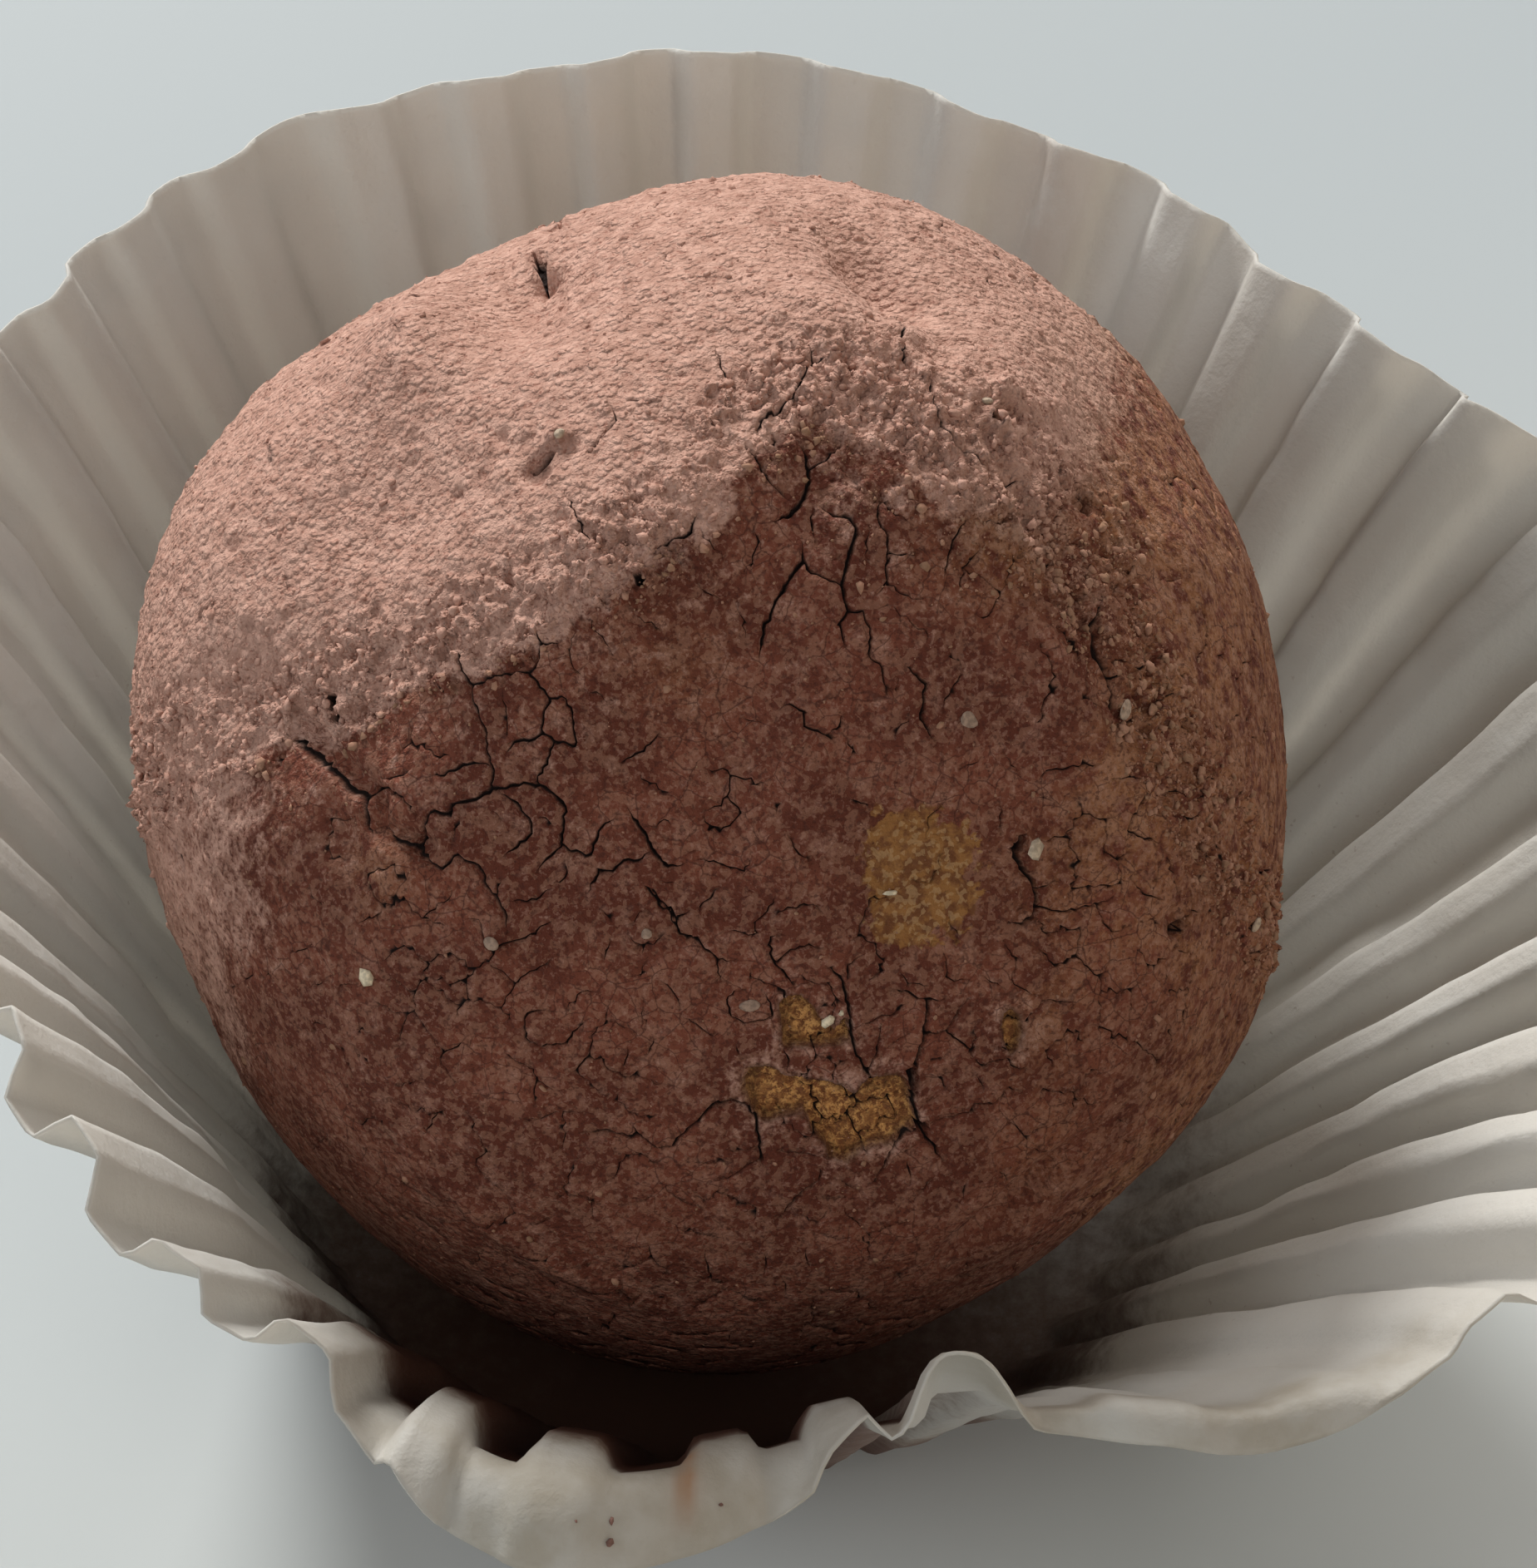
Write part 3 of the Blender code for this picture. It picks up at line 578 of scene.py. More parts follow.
def photo_places(pixels):
    """Unit directions of the truffle's places that the photo shows at pixels."""
    pixels = np.asarray(pixels, float)
    right = (pixels[:, :1] - PHOTO_SIZE[0] / 2) / FOCAL_PIXELS
    rise = (PHOTO_SIZE[1] / 2 - pixels[:, 1:]) / FOCAL_PIXELS
    rays = unit(ACROSS * right + UP * rise - TOWARD)
    start = CAMERA_PLACE - TRUFFLE_CENTRE
    along = rays @ start
    radius = np.full(len(rays), TRUFFLE_RADIUS)
    for _ in range(SURFACE_STEPS):
        inside = np.maximum(along ** 2 - (start @ start - radius ** 2), 0.0)
        places = start + rays * (-along - np.sqrt(inside))[:, None]
        directions = unit(places)
        radius += SURFACE_GAIN * (form_radius(directions) - radius)
    return directions


def read_pixels(text):
    """Pixel pairs from a text such as "12,34 56,78"."""
    return [tuple(float(part) for part in pair.split(",")) for pair in text.split()]


PIXEL_MM = TRUFFLE_RADIUS / TRUFFLE_PIXEL_RADIUS


def spot(directions, pixel, reach, power=2):
    """1 at the place that the photo shows at a pixel, fading out over a reach in mm."""
    gap = np.linalg.norm(directions - photo_places([pixel])[0], axis=1) * TRUFFLE_RADIUS
    return np.exp(-(gap / reach) ** power)


# ---------------------------------------------------------------- regions of the crust

# Band of loose crumbs: distances below the brow line in mm.
CREST_MIDDLE = -0.8
CREST_HALF_WIDTH = 1.5
CREST_END = 0.75
CREST_END_WIDTH = 0.5

# Patches of packed granules: pixel, reach in mm and strength.
GRANULAR_ZONES = (
    ((1060, 600), 1.5, 1.0), ((1180, 600), 1.6, 1.0), ((1300, 700), 1.5, 0.8),
    ((1130, 500), 1.6, 0.7), ((1260, 560), 1.6, 0.9), ((1190, 470), 1.2, 0.7),
    ((1340, 640), 1.4, 0.7), ((1390, 780), 1.3, 0.6), ((1010, 560), 1.2, 0.7),
)

# Spots that fat has stained ochre: pixel, reach in mm and strength.
OCHRE_SPOTS = (
    ((450, 1050), 1.0, 0.5), ((1270, 1210), 1.1, 0.6), ((1112, 1055), 2.0, 0.35),
    ((1230, 700), 1.0, 0.35), ((820, 800), 1.3, 0.3), ((1340, 640), 1.6, 0.6),
    ((1190, 640), 1.5, 0.6), ((1390, 820), 1.6, 0.6),
)
OCHRE_ON_RIGHT = 0.85
OCHRE_BEHIND = 0.4

# Loose cocoa: where it ends at the brow in mm, and how much lies in each region; its loss on
# the right is partly painted shade.
DUST_END = 0.45
DUST_END_WIDTH = 0.95
DUST_RAGGEDNESS = 0.8
DUST_BELOW_BROW = 0.24
DUST_FADE = 3.5
DUST_LOSS_AND_SHADE_ON_RIGHT = 0.85
DUST_ON_LEFT = 0.85
DUST_ON_GRANULES = 0.62
DUST_BEHIND = 0.15
DUST_BEHIND_ON_TOP = 0.75


def crest_share(directions):
    """The band of loose crumbs along the top of the brow."""
    distance, _ = below_brow(directions)
    points = directions * TRUFFLE_RADIUS
    band = (np.exp(-((distance - CREST_MIDDLE) / CREST_HALF_WIDTH) ** 4)
            * smooth_step((CREST_END - distance) / CREST_END_WIDTH))
    band *= directions @ TOWARD > 0.1
    return band * smooth_step(0.80 + 0.8 * noise(points, 1.0, 61))


def granular_share(directions):
    """Patches of packed granules to the right of the peak."""
    share = np.zeros(len(directions))
    for pixel, reach, strength in GRANULAR_ZONES:
        share = np.maximum(share, strength * spot(directions, pixel, reach))
    return share * smooth_step(0.70 + 0.8 * noise(directions * TRUFFLE_RADIUS, 0.8, 62))


def crumb_share(directions):
    """Where crumbs lie packed side by side."""
    return np.maximum(crest_share(directions), 0.9 * granular_share(directions))


def dust_cover(directions):
    """Share of the crust that loose cocoa covers: 1 on the upper side, 0 on the front."""
    points = directions * TRUFFLE_RADIUS
    distance, _ = below_brow(directions)
    x, y = points @ ACROSS, points @ UP
    ragged = 0.5 * noise(points, 1.4, 21) + 0.35 * noise(points, 0.6, 22)
    above = smooth_step((DUST_END - distance + DUST_RAGGEDNESS * ragged) / DUST_END_WIDTH)
    fading = np.exp(-np.clip(distance, 0.0, None) / DUST_FADE)
    above = np.maximum(above, DUST_BELOW_BROW * fading)
    # Less cocoa on the right side: partly bare crust, partly painted shade on the side turned
    # from the lamps.
    right = smooth_step((x - 5.0 - 0.55 * np.clip(y - 5.0, 0.0, None)
                         + noise(points, 3.0, 23)) / 5.0)
    above *= 1.0 - DUST_LOSS_AND_SHADE_ON_RIGHT * right
    left = smooth_step((-8.2 - x + 0.2 * y + 1.5 * noise(points, 2.2, 24)) / 5.5)
    left *= smooth_step((y + 10.5) / 4.0)
    top = smooth_step((points[:, 2] - 2.0 + 3.0 * noise(points, 4.0, 25)) / 9.0)
    behind = smooth_step((-directions @ TOWARD + 0.12) / 0.3)
    cover = np.maximum(above, DUST_ON_LEFT * left)
    cover = np.maximum(cover, DUST_ON_GRANULES * granular_share(directions))
    return cover * (1.0 - behind) + behind * (DUST_BEHIND + DUST_BEHIND_ON_TOP * top)


def ochre_tint(directions):
    """Where fat has stained the crust ochre: right side and a few faint patches."""
    points = directions * TRUFFLE_RADIUS
    right = smooth_step((points @ ACROSS - 7.0 + 1.8 * noise(points, 3.5, 31)) / 4.5)
    tint = OCHRE_ON_RIGHT * right
    for pixel, reach, strength in OCHRE_SPOTS:
        tint += strength * spot(directions, pixel, reach)
    patchy = 0.5 + 0.5 * noise(points, 2.6, 32)
    behind = smooth_step(-directions @ TOWARD / 0.3)
    tint += OCHRE_BEHIND * behind * smooth_step((patchy - 0.5) / 0.4)
    return np.clip(tint * (0.6 + 0.8 * patchy), 0.0, 1.0)


# Small pits where cocoa lies: how many, their radii in mm, and depth over radius.
PIT_COUNT = 260
PIT_RADII = (0.10, 0.26)
PIT_STEEPNESS = (0.5, 1.1)


def scattered_pits(directions):
    """Small pits in the dusty upper side and the back."""
    relief = np.zeros(len(directions))
    centres = unit(random_pits[:, :3])
    for centre, (radius, depth) in zip(centres, random_pits[:, 3:]):
        near = directions @ centre > math.cos(3.0 * radius / TRUFFLE_RADIUS)
        gap = np.linalg.norm(directions[near] - centre, axis=1) * TRUFFLE_RADIUS
        relief[near] -= depth * np.exp(-(gap / radius) ** 3)
    return relief


def make_random_pits(count):
    """Directions, radii and depths of small pits where cocoa lies."""
    directions = unit(random.normal(size=(count, 3)))
    directions = directions[dust_cover(directions) > 0.5]
    radius = random.uniform(*PIT_RADII, len(directions))
    depth = radius * random.uniform(*PIT_STEEPNESS, len(radius))
    return np.column_stack((directions, radius, depth))


random_pits = make_random_pits(PIT_COUNT)


class PackedCrumbs:
    """Relief of crumbs that lie side by side, each at its own level and tilt."""

    def __init__(self, spacing):
        self.spacing = spacing
        self.seeds = fibonacci(spacing, 0.40)
        self.seeds = self.seeds[crumb_share(self.seeds) > 0.02]
        self.levels = random.uniform(-1.0, 1.0, len(self.seeds))
        self.tilts = random.normal(0.0, 1.0, (len(self.seeds), 3))
        self.tree = tree_of(self.seeds)

    def height(self, directions):
        index = np.array([self.tree.find(place)[1] for place in directions.tolist()], int)
        offset = (directions - self.seeds[index]) * TRUFFLE_RADIUS / self.spacing
        return self.levels[index] + (self.tilts[index] * offset).sum(axis=1)


# Relief of the crust in mm: its lumps, its granules and fine grain where it is bare and
# where it is dusted, and its packed crumbs.
BROAD_LUMPS = 0.10
MIDDLE_LUMPS = 0.045
SMALL_LUMPS = 0.018
SMALL_LUMPS_IN_DUST = 0.012
BARE_GRANULES, DUSTED_GRANULES = 0.022, 0.13
BARE_GRAIN, DUSTED_GRAIN = 0.007, 0.032
LARGE_CRUMB_SIZE, LARGE_CRUMB_HEIGHT = 0.36, 0.115
SMALL_CRUMB_SIZE, SMALL_CRUMB_HEIGHT = 0.19, 0.060
LEAST_CRUMBS = 0.03


def crust_radius(directions):
    """Radius with lumps and loose cocoa, before cracks and chips are cut."""
    points = directions * TRUFFLE_RADIUS
    dust = dust_cover(directions)
    radius = form_radius(directions) + dust * scattered_pits(directions)
    radius += BROAD_LUMPS * noise(points, 4.2, 1) + MIDDLE_LUMPS * noise(points, 1.9, 2)
    radius += (SMALL_LUMPS + SMALL_LUMPS_IN_DUST * dust) * noise(points, 0.85, 3)
    granules = np.maximum(noise(points, 0.42, 4) - 0.15, 0.0)
    grain = noise(points, 0.24, 5)
    radius += dust * (DUSTED_GRANULES * granules + DUSTED_GRAIN * grain)
    crumbly = crumb_share(directions)
    rough = crumbly > LEAST_CRUMBS
    packed = LARGE_CRUMB_HEIGHT * large_crumbs.height(directions[rough])
    packed += SMALL_CRUMB_HEIGHT * small_crumbs.height(directions[rough])
    radius[rough] += crumbly[rough] * packed
    return radius + (1.0 - dust) * (BARE_GRANULES * granules + BARE_GRAIN * grain)


# ---------------------------------------------------------------- cracks

# Lengths along and across the cracks in mm.
CRACK_UNEVENNESS = 0.22
CRACK_TIP = 0.12
THINNEST_HALF = 0.006
TRACED_STEP, TRACED_SWAY = 0.12, 0.022
TRACED_WIDTH_SHARE, TRACED_WIDTH_START = 0.35, 0.7
FINE_STEP, FINE_SWAY = 0.14, 0.042
FINE_CELL = 0.95
FINE_CLEARANCE = 0.22
SAMPLE_STEP = 0.035
COARSE_SAMPLE_STEP = 0.1
END_GAP_PIXELS = 8.0

# Where the fine cracks gather: pixel and reach in mm.
CRACKED_ZONES = (
    ((600, 960), 3.0), ((560, 1180), 2.2), ((980, 690), 1.9), ((1120, 790), 1.5),
    ((830, 1090), 2.2), ((960, 1180), 2.4), ((1030, 1330), 3.0), ((790, 1380), 2.2),
    ((1290, 1060), 2.0), ((1340, 1160), 1.8), ((1240, 1290), 1.8), ((1330, 780), 1.6),
    ((1440, 960), 1.6), ((680, 1250), 1.8), ((1180, 700), 1.3),
)


class CrackSet:
    """Paths of cracks on the ball with the half width at each point of each path."""

    def __init__(self):
        self.paths = []
        self.halves = []

    def add(self, corners, half, taper_start, taper_end, step, sway):
        """Adds a path through corners, in steps that sway to both sides."""
        points = [corners[0]]
        for start, end in zip(corners[:-1], corners[1:]):
            length = np.linalg.norm(end - start) * TRUFFLE_RADIUS
            pieces = max(1, round(length / step))
            side = unit(np.cross(start, end - start))
            for piece in range(1, pieces + 1):
                point = start + (end - start) * piece / pieces
                if piece < pieces:
                    point = point + side * random.normal(0.0, sway) / TRUFFLE_RADIUS
                points.append(point)
        points = unit(np.array(points))
        share = np.linspace(0.0, 1.0, len(points))
        width = random.normal(size=len(points)).clip(-1.5, 1.5)
        width = half * (1.0 + CRACK_UNEVENNESS * width)
        reach = min(0.5, 0.5 / max(len(points) * step, 0.1))
        if taper_start:
            width *= CRACK_TIP + (1.0 - CRACK_TIP) * smooth_step(share / reach)
        if taper_end:
            width *= CRACK_TIP + (1.0 - CRACK_TIP) * smooth_step((1.0 - share) / reach)
        self.paths.append(points)
        self.halves.append(np.maximum(width, THINNEST_HALF))

    def samples(self, step=SAMPLE_STEP):
        """Close points along all paths, with the half width at each."""
        places, widths = [], []
        for points, halves in zip(self.paths, self.halves):
            for index in range(len(points) - 1):
                length = np.linalg.norm(points[index + 1] - points[index])
                pieces = max(1, round(length * TRUFFLE_RADIUS / step))
                share = np.arange(pieces)[:, None] / pieces
                places.append(points[index] * (1.0 - share) + points[index + 1] * share)
                widths.append(halves[index] * (1.0 - share[:, 0])
                              + halves[index + 1] * share[:, 0])
            places.append(points[-1:])
            widths.append(halves[-1:])
        return np.concatenate(places), np.concatenate(widths)


def traced_cracks():
    """The cracks that the photo shows, tapered at each end that meets no other crack."""
    cracks = CrackSet()
    lines = [(width, read_pixels(text)) for _, width, text in CRACKS]
    corners = np.array([pixel for _, line in lines for pixel in line])
    places = photo_places(corners)
    start = 0
    for width, line in lines:
        count = len(line)
        others = np.delete(corners, range(start, start + count), axis=0)
        tapers = [np.abs(others - line[end]).sum(axis=1).min() > END_GAP_PIXELS
                  for end in (0, -1)]
        half = (TRACED_WIDTH_SHARE * width + TRACED_WIDTH_START) * PIXEL_MM
        cracks.add(places[start:start + count], half, *tapers, TRACED_STEP, TRACED_SWAY)
        start += count
    return cracks


def fibonacci(spacing, jitter):
    """Evenly spread directions over the ball, each moved a little at random."""
    count = int(4.0 * math.pi * TRUFFLE_RADIUS ** 2 / (spacing ** 2 * 0.866))
    index = np.arange(count) + 0.5
    height = 1.0 - 2.0 * index / count
    turn = index * math.pi * (3.0 - math.sqrt(5.0))
    ring = np.sqrt(1.0 - height ** 2)
    directions = np.column_stack((ring * np.cos(turn), ring * np.sin(turn), height))
    shift = random.normal(0.0, jitter * spacing / TRUFFLE_RADIUS, directions.shape)
    return unit(directions + shift)


def flatten(directions):
    """Stereographic map of the ball from its lowest point onto a plane."""
    return directions[:, :2] / (1.0 + directions[:, 2:])


def unflatten(plane):
    """Directions of the places of a plane, the other way round."""
    square = (plane ** 2).sum(axis=1, keepdims=True)
    return np.concatenate((2.0 * plane, 1.0 - square), axis=1) / (1.0 + square)


def triangulate(directions, edges=()):
    """Delaunay triangles over the ball, which keep the given edges."""
    plane = [Vector(point) for point in flatten(directions).tolist()]
    made = delaunay_2d_cdt(plane, list(edges), [], 0, 1e-9, False)
    corners = unflatten(np.array([tuple(point) for point in made[0]]))
    return corners, np.array([face for face in made[2] if len(face) == 3])


def network_cracks(cell):
    """Voronoi edges over the ball: nodes, and the pairs of nodes that they join."""
    seeds = fibonacci(cell, 0.24)
    seeds = seeds[seeds[:, 2] > -0.985]
    corners, faces = triangulate(seeds)
    first, second, third = (corners[faces[:, index]] for index in range(3))
    nodes = np.cross(second - first, third - first)
    nodes = unit(nodes * np.sign((nodes * first).sum(axis=1))[:, None])
    sides = np.sort(np.concatenate((faces[:, (0, 1)], faces[:, (1, 2)], faces[:, (2, 0)])))
    owner = np.tile(np.arange(len(faces)), 3)
    order = np.lexsort((sides[:, 1], sides[:, 0]))
    sides, owner = sides[order], owner[order]
    shared = (sides[1:] == sides[:-1]).all(axis=1)
    return nodes, np.column_stack((owner[:-1][shared], owner[1:][shared]))


def crack_openness(directions):
    """Chance and half width of the fine cracks, by region."""
    points = directions * TRUFFLE_RADIUS
    zones = np.zeros(len(directions))
    for pixel, reach in CRACKED_ZONES:
        zones = np.maximum(zones, spot(directions, pixel, reach, 4))
    dust = dust_cover(directions)
    patches = 0.5 + 0.5 * noise(points, 3.2, 41)
    hidden = smooth_step((0.55 - directions @ TOWARD) / 0.4)
    chance = (0.08 + 0.22 * patches + 0.58 * zones) * (1.0 - 0.9 * dust)
    chance = chance * (1.0 - hidden) + hidden * (0.75 * patches) * (1.0 - 0.8 * dust)
    half = 0.018 + 0.020 * (0.5 + 0.5 * noise(points, 1.5, 42))
    half += hidden * 0.045 * smooth_step((patches - 0.5) / 0.3)
    return chance, half * (1.0 - 0.3 * dust)


def add_network(cracks):
    """Opens part of a Voronoi network as fine cracks, clear of the traced ones."""
    near = tree_of(cracks.samples(COARSE_SAMPLE_STEP)[0])
    nodes, pairs = network_cracks(FINE_CELL)
    middle = unit(nodes[pairs[:, 0]] + nodes[pairs[:, 1]])
    chance, half = crack_openness(middle)
    opened = random.random(len(pairs)) < chance
    opened &= middle[:, 2] > -0.96
    kept = []
    for index in np.flatnonzero(opened):
        gap = min(near.find(place.tolist())[2] * TRUFFLE_RADIUS for place in
                  (middle[index], nodes[pairs[index, 0]], nodes[pairs[index, 1]]))
        if gap > FINE_CLEARANCE:
            kept.append(index)
    degree = np.bincount(pairs[kept].ravel(), minlength=len(nodes))
    for index in kept:
        first, second = pairs[index]
        cracks.add(nodes[[first, second]], half[index], degree[first] < 2,
                   degree[second] < 2, FINE_STEP, FINE_SWAY)


# ---------------------------------------------------------------- chips

# Chips whose edge is softer than this are shallow, and their outline isn't in the mesh.
SOFT_EDGE = 0.1
OUTLINE_STEP, OUTLINE_SWAY = 0.11, 0.016


class Chip:
    """A place where the crust has flaked off, with its outline on a local plane."""

    def __init__(self, depth, softness, text):
        self.depth = depth
        self.softness = softness
        self.soft = softness > SOFT_EDGE
        outline = photo_places(read_pixels(text))
        self.middle = unit(outline.mean(axis=0))
        self.right, self.above = tangents(self.middle)
        self.outline = self.ragged(self.flat(outline))

    def flat(self, directions):
        """Places of directions on the local plane in mm."""
        places = np.column_stack((directions @ self.right, directions @ self.above))
        return places * TRUFFLE_RADIUS

    def raise_up(self, flat):
        """Directions of places on the local plane."""
        return unit(self.middle + (self.right * flat[:, :1] + self.above * flat[:, 1:])
                    / TRUFFLE_RADIUS)

    def ragged(self, corners):
        """Outline in short uneven steps."""
        points = []
        for start, end in zip(corners, np.roll(corners, -1, axis=0)):
            length = np.linalg.norm(end - start)
            pieces = max(1, round(length / OUTLINE_STEP))
            for piece in range(pieces):
                points.append(start + (end - start) * piece / pieces
                              + random.normal(0.0, OUTLINE_SWAY, 2) * (piece > 0))
        return np.array(points)

    def inset(self, amount):
        """Outline moved inward by an amount."""
        ahead, behind = np.roll(self.outline, -1, axis=0), np.roll(self.outline, 1, axis=0)
        along = unit(ahead - behind)
        normal = np.column_stack((-along[:, 1], along[:, 0]))
        area = np.cross(self.outline, ahead).sum()
        return self.outline + normal * amount * np.sign(area)

    def signed_distance(self, directions):
        """Distance inside the outline in mm; negative outside."""
        result = np.full(len(directions), -9.0)
        reach = np.linalg.norm(self.outline, axis=1).max() + 1.0
        near = directions @ self.middle > math.cos(min(1.2, reach / TRUFFLE_RADIUS))
        points = self.flat(directions[near])
        distance = np.full(len(points), np.inf)
        inside = np.zeros(len(points), bool)
        for start, end in zip(self.outline, np.roll(self.outline, -1, axis=0)):
            step = end - start
            share = np.clip((points - start) @ step / step.dot(step), 0.0, 1.0)
            gap = np.linalg.norm(points - start - share[:, None] * step, axis=1)
            distance = np.minimum(distance, gap)
            crosses = (start[1] > points[:, 1]) != (end[1] > points[:, 1])
            rise = end[1] - start[1] if end[1] != start[1] else 1e-9
            at = start[0] + (points[:, 1] - start[1]) * step[0] / rise
            inside ^= crosses & (points[:, 0] < at)
        result[near] = np.where(inside, distance, -distance)
        return result


# ---------------------------------------------------------------- meshes

# Spacing of the crust's mesh between its cracks in mm, and how far it faces the front
# there: from and to.
FILL_FIELDS = ((0.155, 0.42, 1.1), (0.235, -0.15, 0.42), (0.36, -1.1, -0.15))
FINE_SPACING = 0.085
FINE_CLEARANCE_IN_MESH = 0.05
ROUGH_SHARE = 0.25
LIP_CLEARANCE = 0.72
LIP_SPACING = 0.045
OUTLINE_MIDDLE, OUTLINE_CLEARANCE = 0.02, 0.085
FLOOR_CLEARANCE = 0.03
CHIP_REACH = 3.0
LOWEST_FILL = -85.0
RIM_ELEVATION = -86.0
RIM_POINTS = 64

# Section of a crack in mm: its depth by its half width, and the lips that curl up; and by its
# half width, how much painted shade darkens it.
CRACK_LEAST_DEPTH = 0.05
CRACK_STEEPNESS = 2.3
CRACK_MOST_DEPTH = 0.40
CURL_HEIGHT, CURL_WIDTH, CURL_FULL_HALF = 0.022, 0.12, 0.06
CRACK_DARK_HALF, CRACK_LEAST_SHADE = 0.02, 0.35

# Chips and holes in mm: grit of their floors, curled rims, the cocoa round a chip, which is
# partly painted highlight, and painted shadow inside a chip's edge and below its upper left
# side.
CHIP_GRIT, CHIP_GRIT_DEPTH = 0.05, 0.2
CHIP_RIM_HEIGHT, CHIP_RIM_WIDTH = 0.035, 0.12
CHIP_DUST_AND_HIGHLIGHT, CHIP_DUST_AND_HIGHLIGHT_WIDTH = 0.40, 0.65
CHIP_EDGE_WIDTH, CHIP_EDGE_SHADE = 0.10, 0.7
CHIP_SHADE_REACH, CHIP_SHADE_START, CHIP_SHADE_WIDTH, CHIP_SHADE_GRIT = 0.20, 0.22, 0.40, 0.25
SAND_START, SAND_GRIT = 0.22, 0.40
HOLE_LIP_HEIGHT, HOLE_LIP_WIDTH, HOLE_GRIT = 0.06, 0.13, 0.15


def add_piece(name, points, faces, slot, smooth=True):
    """Makes a mesh from points in mm, which rides on the part's one body."""
    mesh = bpy.data.meshes.new(name)
    mesh.vertices.add(len(points))
    mesh.vertices.foreach_set("co", (points * MM).ravel())
    mesh.loops.add(faces.size)
    mesh.loops.foreach_set("vertex_index", faces.ravel())
    mesh.polygons.add(len(faces))
    mesh.polygons.foreach_set("loop_start", np.arange(len(faces)) * faces.shape[1])
    mesh.update(calc_edges=True)
    mesh.validate()
    if smooth:
        mesh.shade_smooth()
    piece = bpy.data.objects.new(name, mesh)
    bpy.context.scene.collection.objects.link(piece)
    if slot:
        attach(piece, "root")
    return piece


def add_attribute(piece, name, values):
    """Stores one number for each point of a piece, for its material."""
    made = piece.data.attributes.new(name, "FLOAT", "POINT")
    made.data.foreach_set("value", np.asarray(values, np.float32))


def tree_of(places):
    """Search tree of places."""
    tree = KDTree(len(places))
    for index, place in enumerate(places.tolist()):
        tree.insert(place, index)
    tree.balance()
    return tree


def nearest_crack(directions, tree, halves):
    """Distance to the nearest crack and its half width, both in mm."""
    found = [tree.find(place)[1:] for place in directions.tolist()]
    index = np.array([hit[0] for hit in found])
    gap = np.array([hit[1] for hit in found]) * TRUFFLE_RADIUS
    return gap, halves[index]


def crack_rows(cracks, tree, halves):
    """Mesh points along the cracks: middles with their edges, and both lips."""
    points, edges, lips = [], [], []
    count = 0
    for path, half in zip(cracks.paths, cracks.halves):
        ahead = np.concatenate((path[1:], path[-1:]))
        behind = np.concatenate((path[:1], path[:-1]))
        side = unit(np.cross(path, ahead - behind)) / TRUFFLE_RADIUS
        for sign in (-1.0, 1.0):
            lips.append(unit(path + side * (sign * half)[:, None]))
        points.append(path)
        edges += [(count + index, count + index + 1) for index in range(len(path) - 1)]
        count += len(path)
    lips = np.concatenate(lips)
    gap, half = nearest_crack(lips, tree, halves)
    lips = lips[gap > LIP_CLEARANCE * half]
    return np.concatenate(points), edges, thin_out(lips, LIP_SPACING)


def thin_out(directions, spacing):
    """Keeps one direction in each small cell."""
    cells = np.floor(directions * TRUFFLE_RADIUS / spacing).astype(np.int64)
    _, first = np.unique(cells, axis=0, return_index=True)
    return directions[np.sort(first)]


def fill_points(chips, tree, halves):
    """Points between the cracks: close on the front, wider at the back."""
    front = unit(TOWARD + 0.15 * UP)
    fields = []
    for spacing, low, high in FILL_FIELDS:
        points = fibonacci(spacing, 0.16)
        facing = points @ front
        points = points[(facing > low) & (facing <= high)]
        gap, half = nearest_crack(points, tree, halves)
        fields.append(points[gap > half + 0.5 * spacing])
    points = fibonacci(FINE_SPACING, 0.18)
    points = points[crumb_share(points) > ROUGH_SHARE]
    gap, half = nearest_crack(points, tree, halves)
    rough = points[gap > half + FINE_CLEARANCE_IN_MESH]
    points = np.concatenate(fields)
    lowest = math.sin(math.radians(LOWEST_FILL))
    points = points[(points[:, 2] > lowest) & (crumb_share(points) <= ROUGH_SHARE)]
    points = np.concatenate((points, rough))
    floors = []
    for chip in chips:
        if chip.soft:
            continue
        inside = chip.signed_distance(points)
        points = points[np.abs(inside - OUTLINE_MIDDLE) > OUTLINE_CLEARANCE]
        points = points[chip.signed_distance(points) < 0.0]
        fine = fibonacci(FINE_SPACING, 0.2)
        fine = fine[fine @ chip.middle > math.cos(CHIP_REACH / TRUFFLE_RADIUS)]
        gap, half = nearest_crack(fine, tree, halves)
        inside = chip.signed_distance(fine) > chip.softness + FLOOR_CLEARANCE
        floors.append(fine[inside & (gap > half + FINE_CLEARANCE_IN_MESH)])
    return np.concatenate([points] + floors)


def chip_rows(chips, count):
    """Closed rows of mesh points round the sharp chips and round their floors."""
    points, edges = [], []
    for chip in chips:
        if chip.soft:
            continue
        for row in (chip.outline, chip.inset(chip.softness)):
            size = len(row)
            edges += [(count + index, count + (index + 1) % size) for index in range(size)]
            points.append(chip.raise_up(row))
            count += size
    return points, edges


